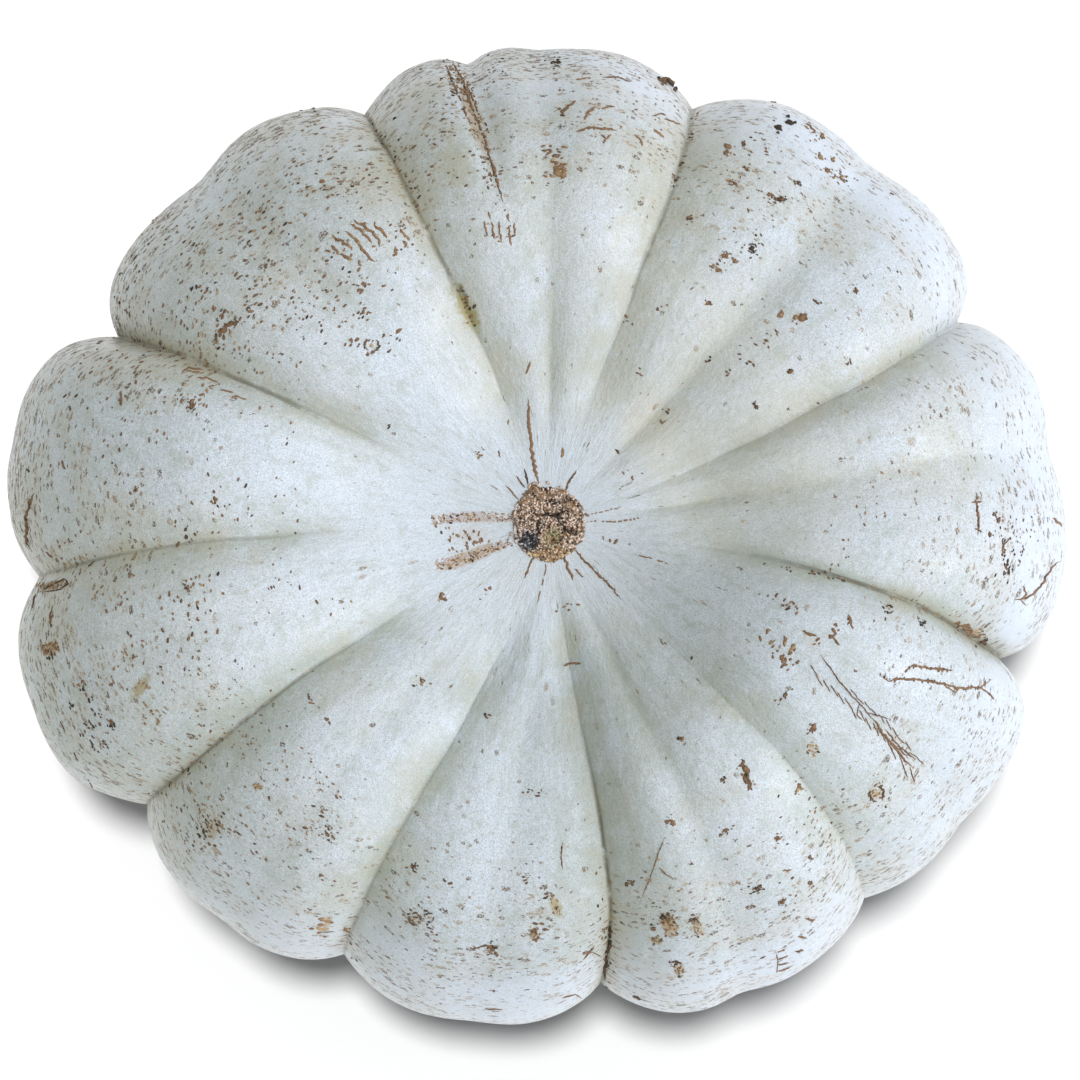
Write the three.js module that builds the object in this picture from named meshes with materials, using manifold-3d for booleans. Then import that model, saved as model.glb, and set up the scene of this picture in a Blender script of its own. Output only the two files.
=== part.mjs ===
// A flat, ribbed white pumpkin lying on its stem side, with its blossom scar on top.
// Millimetres, +Z up. The origin is on the surface that the pumpkin rests on, under the middle of
// its outline.

import * as THREE from 'three';
import { mergeVertices } from 'three/addons/utils/BufferGeometryUtils.js';
import Module from 'manifold-3d';

// One row for each lobe, counter-clockwise from +X, seen from above. Each starts with a crease.
// furrow: direction of the crease at the rim, in degrees
// bend, swing: how far it has turned at 0.6 and at 0.2 of the way out to the rim, in degrees
// depth: how deep the crease is
// notch: how much deeper it is at the rim
// roll: how steeply the skin rolls into the crease at the rim, where 2 is an arc
// onset: where the crease begins, as a share of the way out to the rim
// reach: distance from the scar's axis to the crest of the lobe
// brow: where the crest rolls over into the dish, as a share of the reach
// rise: how far that crest stands above the others
// groove: depth of the shallow channel that runs down the lobe
// channel: where that channel lies across the lobe, from 0 to 1
// head: where the channel begins, as a share of the way out to the rim
const COLUMNS = [
  'furrow', 'bend', 'swing', 'depth', 'notch', 'roll', 'onset',
  'reach', 'brow', 'rise', 'groove', 'channel', 'head',
];
const LOBES = [
  [26.2, -2.7, -6.5, 11.5, 4.5, 4, 0.1, 150.5, 0.45, -8, 4.4, 0.505, 0.08],
  [71, -1.2, 0.5, 14, 2, 2.3, 0.12, 147.5, 0.46, -1, 4.2, 0.48, 0.1],
  [114.2, -2, -4, 12, 1.5, 2.6, 0.1, 152, 0.43, 0, 3.6, 0.515, 0.4],
  [156.7, -1.5, 0, 12, 4.5, 3.6, 0.22, 165, 0.46, 0, 1, 0.5, 0.6],
  [186, -3, -4, 10, 0.5, 2.6, 0.3, 167.5, 0.45, 0, 1.2, 0.45, 0.5],
  [215, -2.6, -5, 13, 0.5, 2.4, 0.2, 157.5, 0.43, 0, 1.6, 0.55, 0.15],
  [244.6, 0, 6, 11.5, 0, 2.6, 0.12, 154.5, 0.4, -8, 1.4, 0.52, 0.15],
  [276.5, 3.2, 1, 14, 1.5, 2.1, 0.08, 157.5, 0.4, 8, 4, 0.46, 0.1],
  [310, 4.8, 3, 8.5, 1, 2.4, 0.15, 157, 0.39, 10, 2.6, 0.42, 0.4],
  [343, 6.2, 9, 12, 4.5, 4.6, 0.18, 158, 0.46, -4, 4.4, 0.58, 0.08],
].map((row) => Object.fromEntries(row.map((value, column) => [COLUMNS[column], value])));
const NOTCH_ROLL = 8;            // how steeply the skin rolls into a crease's notch at the rim
const GROOVE_WIDTH = 0.17;       // half width of a lobe's channel, as a share of the lobe
// One more fold, down the outer half of one lobe.
const FOLD = { lobe: 1, place: 0.67, width: 0.06, depth: 4.5 };

// The meridian runs from the blossom scar over the rim to the stem. Spread is the distance from the axis
// as a share of the lobe's reach: 0 on the axis, 1 at the rim.
const SQUARENESS = 3;            // exponent of the meridian's superellipse
const CROWN_HEIGHT = 91;         // rim to the top of the superellipse, before the dish is sunk in it
const BELLY_HEIGHT = 85;         // rim to its lowest point, before the stem hollow is sunk in it
const DISH = { depth: 30, power: 2.9 };
const STEM_HOLLOW = { depth: 50, spread: 0.33 };
const SEAT_SPREAD = 0.155;       // inside this the floor of the stem hollow is flat
const SCAR = { radius: 11, height: 1.6 };
const REST_CUT = 0.9;            // how much the lowest crests are flattened where they bear

const STEM = { radius: 13, flare: 4.5, length: 21, ridges: 7, ridgeDepth: 1.2, gap: 0.3 };

const COLUMNS_PER_LOBE = 12;
const RINGS = 34;
const POLE_CROWDING = 0.55;      // 0 spaces the rings evenly, towards 1 they crowd at both ends

const { lerp, degToRad, smoothstep } = THREE.MathUtils;

function lobeAt(number) {
  const count = LOBES.length;
  const turns = Math.floor(number / count);
  const index = number - turns * count;
  const lobe = LOBES[index];
  return { ...lobe, index, furrow: lobe.furrow + 360 * turns };
}

// The direction of a lobe's crease at a place that is this share of the way in from the rim.
function creaseAt(lobe, inward) {
  const curl = (lobe.swing - 2 * lobe.bend) / 0.32;
  return lobe.furrow + (lobe.bend / 0.4 - 0.4 * curl) * inward + curl * inward ** 2;
}

// The crest line: reach, brow and rise, eased from the middle of one lobe to the middle of the next.
function crestAt(turn) {
  const before = Math.floor(turn - 0.5);
  const way = (1 - Math.cos(Math.PI * (turn - 0.5 - before))) / 2;
  const first = lobeAt(before);
  const second = lobeAt(before + 1);
  return {
    reach: lerp(first.reach, second.reach, way),
    brow: lerp(first.brow, second.brow, way),
    rise: lerp(first.rise, second.rise, way),
  };
}

// The cross section of a channel, 1 at its bottom.
function channelAt(distance) {
  return Math.exp(-(Math.abs(distance) ** 1.4));
}

// How far the skin lies below the crest line, for a place across a lobe from 0 to 1. A crease is a soft
// valley round the scar and a sharp one at the rim. All of it fades at both ends of the fruit.
function sinkAt(lobe, next, share, spread, upper) {
  const soft = (1 + Math.cos(2 * Math.PI * share)) / 2;
  const sharp = Math.abs(2 * share - 1) ** (share < 0.5 ? lobe : next).roll;
  const onset = lerp(lobe.onset, next.onset, share);
  const folded = lobe.index === FOLD.lobe ? FOLD.depth * smoothstep(spread, 0.58, 0.85) : 0;
  const notch = lerp(lobe.notch, next.notch, share) * Math.abs(2 * share - 1) ** NOTCH_ROLL;
  const crease = lerp(lobe.depth, next.depth, share) * lerp(soft, sharp, smoothstep(spread, 0.12, 0.5))
    + folded * channelAt((share - FOLD.place) / FOLD.width) + notch * smoothstep(spread, 0.76, 1);
  const groove = lobe.groove * channelAt((share - lobe.channel) / GROOVE_WIDTH);
  if (!upper) return (crease + groove) * smoothstep(spread, SEAT_SPREAD, 0.8);
  return crease * spread ** 0.75 * smoothstep(spread, onset, onset + 0.22)
    + groove * smoothstep(spread, lobe.head, lobe.head + 0.26);
}

function meridianHeight(angle, spread, crest) {
  if (angle < Math.PI / 2) {
    const crown = (CROWN_HEIGHT + crest.rise) * Math.cos(angle) ** (2 / SQUARENESS);
    return crown - (DISH.depth + crest.rise) * Math.exp(-((spread / crest.brow) ** DISH.power));
  }
  const level = Math.max(spread, SEAT_SPREAD);
  const belly = BELLY_HEIGHT * (1 - level ** SQUARENESS) ** (1 / SQUARENESS);
  return STEM_HOLLOW.depth * Math.exp(-((level / STEM_HOLLOW.spread) ** 2)) - belly;
}

// A point of the skin: turn counts lobes counter-clockwise, and along runs from the scar, 0, to the stem, 1.
function skinPoint(turn, along) {
  const angle = Math.PI * (along - POLE_CROWDING * Math.sin(2 * Math.PI * along) / (2 * Math.PI));
  const upper = angle < Math.PI / 2;
  const spread = Math.max(Math.sin(angle), 0) ** (2 / SQUARENESS);

  const number = Math.floor(turn);
  const share = turn - number;
  const lobe = lobeAt(number);
  const next = lobeAt(number + 1);
  const inward = upper ? 1 - spread : 0;
  const azimuth = degToRad(lerp(creaseAt(lobe, inward), creaseAt(next, inward), share));

  const sink = sinkAt(lobe, next, share, spread, upper);
  const crest = crestAt(turn);
  const outward = new THREE.Vector2(Math.sin(angle), Math.cos(angle));
  const fromAxis = crest.reach * spread;
  const button = upper ? SCAR.height * (1 - smoothstep(fromAxis, SCAR.radius - 2, SCAR.radius + 2)) : 0;
  const distance = fromAxis - sink * outward.x;
  const height = meridianHeight(angle, spread, crest) - sink * outward.y + button;
  return new THREE.Vector3(distance * Math.cos(azimuth), distance * Math.sin(azimuth), height);
}

// Merges shared corners and drops the flat triangles where a revolved surface meets its axis.
function closedShell(geometry) {
  const bare = geometry.clone();
  bare.deleteAttribute('normal');
  bare.deleteAttribute('uv');
  const shell = mergeVertices(bare, 1e-3);
  const corners = shell.index.array;
  const kept = [];
  for (let i = 0; i < corners.length; i += 3) {
    const [a, b, c] = corners.slice(i, i + 3);
    if (a !== b && b !== c && c !== a) kept.push(a, b, c);
  }
  shell.setIndex(kept);
  return shell;
}

function toSolid(wasm, geometry) {
  const shell = closedShell(geometry);
  return new wasm.Manifold(new wasm.Mesh({
    numProp: 3,
    vertProperties: new Float32Array(shell.attributes.position.array),
    triVerts: new Uint32Array(shell.index.array),
  }));
}

function toGeometry(solid) {
  const { vertProperties, triVerts } = solid.getMesh();
  const geometry = new THREE.BufferGeometry();
  geometry.setAttribute('position', new THREE.BufferAttribute(vertProperties, 3));
  geometry.setIndex(new THREE.BufferAttribute(triVerts, 1));
  geometry.computeVertexNormals();
  return geometry;
}

// Bends a plain revolved blank into the ribbed skin. The blank only supplies the rows, columns and faces.
function ribbedSkin() {
  const spindle = [];
  for (let ring = 0; ring <= RINGS; ring += 1) {
    const angle = (Math.PI * ring) / RINGS;
    spindle.push(new THREE.Vector2(Math.sin(angle), -Math.cos(angle)));
  }
  const skin = new THREE.LatheGeometry(spindle, COLUMNS_PER_LOBE * LOBES.length);
  const { position, uv } = skin.attributes;
  for (let i = 0; i < position.count; i += 1) {
    const turn = uv.getX(i) * LOBES.length;
    const { x, y, z } = skinPoint(turn, 1 - uv.getY(i));
    position.setXYZ(i, x, y, z);
  }
  return skin;
}

// The fruit in its final place: centred on its outline, standing on flats cut on its lowest crests.
function fruitGeometry(wasm) {
  const skin = ribbedSkin();
  skin.computeBoundingBox();
  const middle = skin.boundingBox.getCenter(new THREE.Vector3());
  const floor = skin.boundingBox.min.z + REST_CUT;
  skin.translate(-middle.x, -middle.y, -floor);

  const below = new THREE.BoxGeometry(400, 400, 20);
  below.translate(0, 0, -10);
  const fruit = toGeometry(toSolid(wasm, skin).subtract(toSolid(wasm, below)));
  const seat = meridianHeight(Math.PI, 0, crestAt(0)) - floor;
  return { fruit, seat: new THREE.Vector3(-middle.x, -middle.y, seat) };
}

// The cut stem: a corky stub with a flared foot, softly ridged along its length, hanging in its hollow.
function stemGeometry() {
  const { radius, flare, length, ridges, ridgeDepth } = STEM;
  const outline = [
    new THREE.Vector2(0, -length),
    new THREE.Vector2(radius - 2, -length),
    new THREE.Vector2(radius, -length + 2),
    new THREE.Vector2(radius - 0.6, -length * 0.55),
    new THREE.Vector2(radius + flare * 0.35, -length * 0.2),
    new THREE.Vector2(radius + flare * 0.8, -1.5),
    new THREE.Vector2(radius + flare * 0.6, 0),
    new THREE.Vector2(0, 0),
  ];
  const stem = new THREE.LatheGeometry(outline, ridges * 6);
  const { position } = stem.attributes;
  for (let i = 0; i < position.count; i += 1) {
    const x = position.getX(i);
    const z = position.getZ(i);
    const wave = 1 - Math.cos(ridges * Math.atan2(z, x));
    const pull = 1 - (wave * ridgeDepth) / (2 * radius);
    position.setX(i, x * pull);
    position.setZ(i, z * pull);
  }
  stem.rotateX(Math.PI / 2);
  return closedShell(stem);
}

const wasm = await Module();
wasm.setup();

const { fruit: fruitShape, seat } = fruitGeometry(wasm);

const rind = new THREE.MeshStandardMaterial({ color: 0xe2e8e6, roughness: 0.42, metalness: 0 });
const cork = new THREE.MeshStandardMaterial({ color: 0xa98f6b, roughness: 0.9, metalness: 0 });

const fruit = new THREE.Mesh(fruitShape, rind);
fruit.name = 'fruit';

const stem = new THREE.Mesh(stemGeometry(), cork);
stem.name = 'stem';
stem.position.copy(seat);
stem.position.z -= STEM.gap;

const pumpkin = new THREE.Group();
pumpkin.add(fruit, stem);

export default pumpkin;
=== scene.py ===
"""A flat, ribbed white pumpkin lying on its stem side, with its blossom scar on top.

Lengths in the shape sections are millimetres and directions are degrees, counter-clockwise from +X seen from
above, measured about the axis through the blossom scar. Meshes are made in metres.
"""

import math

import bpy
import numpy as np
from mathutils import Matrix, Vector, noise
from mathutils.bvhtree import BVHTree


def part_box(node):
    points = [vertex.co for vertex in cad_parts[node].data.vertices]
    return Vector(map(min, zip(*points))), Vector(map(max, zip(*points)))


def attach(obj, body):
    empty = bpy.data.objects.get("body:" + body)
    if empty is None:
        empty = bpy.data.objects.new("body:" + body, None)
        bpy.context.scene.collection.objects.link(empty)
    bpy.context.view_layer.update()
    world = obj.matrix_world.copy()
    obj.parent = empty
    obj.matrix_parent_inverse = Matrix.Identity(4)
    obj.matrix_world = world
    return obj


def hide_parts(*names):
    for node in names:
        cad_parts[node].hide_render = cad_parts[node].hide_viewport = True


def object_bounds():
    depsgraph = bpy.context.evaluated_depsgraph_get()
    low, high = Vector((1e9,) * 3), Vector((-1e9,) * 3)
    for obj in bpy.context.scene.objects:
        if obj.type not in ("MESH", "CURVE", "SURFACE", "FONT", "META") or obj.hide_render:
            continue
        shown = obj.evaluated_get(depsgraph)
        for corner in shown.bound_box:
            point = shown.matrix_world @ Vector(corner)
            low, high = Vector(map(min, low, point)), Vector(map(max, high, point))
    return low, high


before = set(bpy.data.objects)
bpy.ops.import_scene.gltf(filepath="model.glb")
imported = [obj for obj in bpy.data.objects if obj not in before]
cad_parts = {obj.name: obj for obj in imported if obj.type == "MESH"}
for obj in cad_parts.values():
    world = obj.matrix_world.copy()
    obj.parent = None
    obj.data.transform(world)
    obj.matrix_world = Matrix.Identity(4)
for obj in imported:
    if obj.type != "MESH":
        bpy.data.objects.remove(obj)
CAD_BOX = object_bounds()
MM = 0.001
RNG = np.random.default_rng(7)
noise.seed_set(7)

# ---------------------------------------------------------------------------------- shape of the skin
# One row for each lobe, counter-clockwise.
# The furrow that starts it: direction at the rim, how far it has turned at 0.6 and at 0.2 of the reach,
# depth, how much deeper it is at the rim, how steeply the lobes roll into it there, where it begins as a
# share of the reach, how strongly its crease is darkened, partly by a real stain and partly by painted shade.
# The crest: its reach, where its brow over the dish lies as a share of that, how much that brow stands up.
# The channel that runs down the lobe: depth, place across the lobe, where it begins as a share of the reach.
LOBES = np.array((
    (26.2, -2.7, -6.5, 11.5, 4.5, 4.0, 0.10, 0.25, 150.5, 0.45, -8.0, 4.4, 0.505, 0.08),
    (71.0, -1.2, 0.5, 14.0, 2.0, 2.3, 0.12, 0.60, 147.5, 0.46, -1.0, 4.2, 0.480, 0.10),
    (114.2, -2.0, -4.0, 12.0, 1.5, 2.6, 0.10, 1.00, 152.0, 0.43, 0.0, 3.6, 0.515, 0.40),
    (156.7, -1.5, 0.0, 12.0, 4.5, 3.6, 0.22, 0.90, 165.0, 0.46, 0.0, 1.0, 0.500, 0.60),
    (186.0, -3.0, -4.0, 10.0, 0.5, 2.6, 0.30, 0.55, 167.5, 0.45, 0.0, 1.2, 0.450, 0.50),
    (215.0, -2.6, -5.0, 13.0, 0.5, 2.4, 0.20, 0.80, 157.5, 0.43, 0.0, 1.6, 0.550, 0.15),
    (244.6, 0.0, 6.0, 11.5, 0.0, 2.6, 0.12, 0.40, 154.5, 0.40, -8.0, 1.4, 0.520, 0.15),
    (276.5, 3.2, 1.0, 14.0, 1.5, 2.1, 0.08, 1.00, 157.5, 0.40, 8.0, 4.0, 0.460, 0.10),
    (310.0, 4.8, 3.0, 8.5, 1.0, 2.4, 0.15, 0.12, 157.0, 0.39, 10.0, 2.6, 0.420, 0.40),
    (343.0, 6.2, 9.0, 12.0, 4.5, 4.6, 0.18, 1.00, 158.0, 0.46, -4.0, 4.4, 0.580, 0.08),
))
FURROW, BEND, SWING, DEPTH, NOTCH, ROLL, ONSET, STAIN_AND_SHADE, REACH, BROW, RISE, GROOVE, CHANNEL, HEAD = range(14)
NOTCH_ROLL = 8.0
GROOVE_WIDTH = 0.17
# An extra fold down the outer half of one lobe.
FOLD_LOBE, FOLD_PLACE, FOLD_WIDTH, FOLD_DEPTH = 1, 0.67, 0.06, 4.5
SQUARENESS = 3.0
CROWN_HEIGHT = 91.0
BELLY_HEIGHT = 85.0
DISH_DEPTH, DISH_POWER = 30.0, 2.9
HOLLOW_DEPTH, HOLLOW_SPREAD = 50.0, 0.33
SEAT_SPREAD = 0.155
REST_CUT = 0.9

COLUMNS_PER_LOBE, RINGS = 62, 161
# How much closer together the columns lie at the furrows, and the rings at the scar and the stem.
COLUMN_CROWD, RING_CROWD = 0.6, 0.5
# Unevenness of the skin: its height and its size, broad and fine, and the same for its sideways drift.
BROAD, FINE, DRIFT = (1.1, 42), (0.22, 11), (0.8, 19)


def smoothstep(value, low, high):
    share = np.clip((value - low) / (high - low), 0, 1)
    return share * share * (3 - 2 * share)


def blend(first, second, share):
    return first + (second - first) * share


def crowd(share, amount):
    """Moves evenly spaced shares from 0 to 1 towards both ends."""
    return share - amount * math.sin(2 * math.pi * share) / (2 * math.pi)


def turned(lobe, inward):
    """How far a lobe's furrow has turned at a place that is this share of the way in from the rim."""
    curl = (lobe[:, SWING] - 2 * lobe[:, BEND]) / 0.32
    return (lobe[:, BEND] / 0.4 - 0.4 * curl) * inward + curl * inward ** 2


def sink_at(lobe, after, share, spread, upper):
    """How far the skin lies below the crest line."""
    near = np.where((share < 0.5)[:, None], lobe, after)
    soft = (1 + np.cos(2 * math.pi * share)) / 2
    sharp = np.abs(2 * share - 1) ** near[:, ROLL]
    depth = blend(lobe[:, DEPTH], after[:, DEPTH], share)
    onset = blend(lobe[:, ONSET], after[:, ONSET], share)
    crease = depth * blend(soft, sharp, smoothstep(spread, 0.12, 0.5))
    groove = lobe[:, GROOVE] * np.exp(-(np.abs((share - lobe[:, CHANNEL]) / GROOVE_WIDTH) ** 1.4))
    folded = np.all(lobe == LOBES[FOLD_LOBE], axis=1) * smoothstep(spread, 0.58, 0.85)
    crease = crease + folded * FOLD_DEPTH * np.exp(-(np.abs((share - FOLD_PLACE) / FOLD_WIDTH) ** 1.4))
    notch = blend(lobe[:, NOTCH], after[:, NOTCH], share) * np.abs(2 * share - 1) ** NOTCH_ROLL
    crease = crease + notch * smoothstep(spread, 0.76, 1.0)
    above = crease * spread ** 0.75 * smoothstep(spread, onset, onset + 0.22)
    above += groove * smoothstep(spread, lobe[:, HEAD], lobe[:, HEAD] + 0.26)
    below = (crease + groove) * smoothstep(spread, SEAT_SPREAD, 0.8)
    return np.where(upper, above, below)


def skin_shape(turn, along):
    """Points of the skin, with each one's spread, sink and share across its lobe.

    turn counts lobes counter-clockwise. along runs from the scar, 0, over the rim, 0.5, to the stem, 1.
    """
    count = len(LOBES)
    number = np.floor(turn).astype(int)
    share = turn - number
    lobe = LOBES[number % count]
    after = LOBES[(number + 1) % count]

    angle = math.pi * along
    upper = angle < math.pi / 2
    spread = np.maximum(np.sin(angle), 0) ** (2 / SQUARENESS)
    inward = np.where(upper, 1 - spread, 0)
    start = lobe[:, FURROW] + 360 * (number // count) + turned(lobe, inward)
    end = after[:, FURROW] + 360 * ((number + 1) // count) + turned(after, inward)
    azimuth = np.radians(blend(start, end, share))

    before = np.floor(turn - 0.5).astype(int)
    way = (1 - np.cos(math.pi * (turn - 0.5 - before))) / 2
    crest = blend(LOBES[before % count], LOBES[(before + 1) % count], way[:, None])
    reach, brow, rise = crest[:, REACH], crest[:, BROW], crest[:, RISE]
    sink = sink_at(lobe, after, share, spread, upper)

    crown = (CROWN_HEIGHT + rise) * np.maximum(np.cos(angle), 0) ** (2 / SQUARENESS)
    crown = crown - (DISH_DEPTH + rise) * np.exp(-((spread / brow) ** DISH_POWER))
    level = np.maximum(spread, SEAT_SPREAD)
    belly = BELLY_HEIGHT * np.maximum(1 - level ** SQUARENESS, 0) ** (1 / SQUARENESS)
    belly = HOLLOW_DEPTH * np.exp(-((level / HOLLOW_SPREAD) ** 2)) - belly
    distance = reach * spread - sink * np.sin(angle)
    height = np.where(upper, crown, belly) - sink * np.cos(angle)
    points = np.stack([distance * np.cos(azimuth), distance * np.sin(azimuth), height], axis=1)
    return points, spread, sink, share


# ---------------------------------------------------------------------------------- mesh helpers
def add_object(name, points, faces):
    mesh = bpy.data.meshes.new(name)
    mesh.from_pydata((np.asarray(points) * MM).tolist(), [], faces)
    mesh.shade_smooth()
    made = bpy.data.objects.new(name, mesh)
    bpy.context.scene.collection.objects.link(made)
    return made


def add_values(mesh, name, values):
    attribute = mesh.attributes.new(name, "FLOAT", "POINT")
    attribute.data.foreach_set("value", np.asarray(values, dtype=np.float32))


def fan_faces(columns):
    """Triangles between point 0 and a closed ring of the points after it."""
    return [(0, 1 + column, 1 + (column + 1) % columns) for column in range(columns)]


def grid_faces(rings, columns, first=0):
    """Quads between closed rings of points, each ring inside the next, from the first point of them."""
    faces = []
    for ring in range(rings - 1):
        inner = first + ring * columns
        outer = inner + columns
        for column in range(columns):
            after = (column + 1) % columns
            faces.append((inner + column, outer + column, outer + after, inner + after))
    return faces


# ---------------------------------------------------------------------------------- rind
def make_rind():
    shares = [crowd(column / COLUMNS_PER_LOBE, COLUMN_CROWD) for column in range(COLUMNS_PER_LOBE)]
    turns = [lobe + share for lobe in range(len(LOBES)) for share in shares]
    alongs = [crowd(ring / RINGS, RING_CROWD) for ring in range(1, RINGS)]
    columns = len(turns)
    turn = np.concatenate([np.tile(turns, len(alongs)), [0.0, 0.0]])
    along = np.concatenate([np.repeat(alongs, columns), [0.0, 1.0]])
    points, spread, sink, share = skin_shape(turn, along)
    points[:, 2] -= points[:, 2].min() + REST_CUT

    centre = np.array([0, 0, points[:, 2].max() / 2])
    outward = points - centre
    outward /= np.linalg.norm(outward, axis=1)[:, None]
    swell, drift = [], []
    for point in map(Vector, points.tolist()):
        broad, fine = noise.noise(point / BROAD[1]), noise.noise(point / FINE[1] + Vector((9, 4, 2)))
        swell.append(BROAD[0] * broad + FINE[0] * fine)
        drift.append(noise.noise_vector(point / DRIFT[1])[:2])
    away = smoothstep(spread, 0.1, 0.35)
    points += outward * (np.array(swell) * away)[:, None]
    points[:, :2] += np.array(drift) * (DRIFT[0] * away)[:, None]
    points[:, 2] = np.maximum(points[:, 2], 0)

    faces = grid_faces(len(alongs), columns)
    top, bottom = len(turn) - 2, len(turn) - 1
    last = (len(alongs) - 1) * columns
    for column in range(columns):
        after = (column + 1) % columns
        faces += [(top, column, after), (bottom, last + after, last + column)]
    rind = add_object("rind", points, faces)

    lobe_width = 2 * math.pi * np.hypot(points[:, 0], points[:, 1]) / len(LOBES)
    add_values(rind.data, "along", along)
    add_values(rind.data, "valley", np.clip(sink / (2 + 9 * spread ** 1.35), 0, 1))
    add_values(rind.data, "furrow_gap", np.minimum(share, 1 - share) * lobe_width)
    nearest = np.round(turn).astype(int) % len(LOBES)
    add_values(rind.data, "furrow_stain_and_shade", LOBES[nearest, STAIN_AND_SHADE])
    return rind, points


rind, rind_points = make_rind()
cad_low, cad_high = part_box("fruit")
outline_low, outline_high = rind_points.min(axis=0), rind_points.max(axis=0)
shift = [(cad_low[i] + cad_high[i]) / 2 - (outline_low[i] + outline_high[i]) / 2 * MM for i in range(2)]
AXIS = Vector((*shift, 0))
rind.data.transform(Matrix.Translation(AXIS))
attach(rind, "root")
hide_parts("fruit")


# ---------------------------------------------------------------------------------- marks on the skin
# The camera's place over the middle of the box. Marks are placed as it sees them.
EYE_SHIFT, EYE_HEIGHT = (0.9, -0.9), 1600.0
box_middle = (CAD_BOX[0] + CAD_BOX[1]) / 2 / MM
EYE = box_middle + Vector((*EYE_SHIFT, EYE_HEIGHT))
SKIN = BVHTree.FromPolygons([Vector(point) + AXIS / MM for point in rind_points.tolist()],
                            [tuple(face.vertices) for face in rind.data.polygons])


def from_axis(azimuth, distance):
    turn = math.radians(azimuth)
    return Vector((distance * math.cos(turn), distance * math.sin(turn)))


def foothold(spot):
    """Where the line from the eye to a spot at mid height meets the skin, and the skin's direction there."""
    aim = Vector((spot.x + AXIS.x / MM, spot.y + AXIS.y / MM, box_middle.z))
    return SKIN.ray_cast(EYE, (aim - EYE).normalized())[:2]


def land(spot, lift):
    """The point this far above the skin at a spot."""
    place, normal = foothold(spot)
    return None if place is None else place + normal * lift


# How far crusts dip into the skin at their edges, and the spacing of the points along a stroke.
EDGE_DIP, STROKE_STEP = 0.08, 0.6


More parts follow.
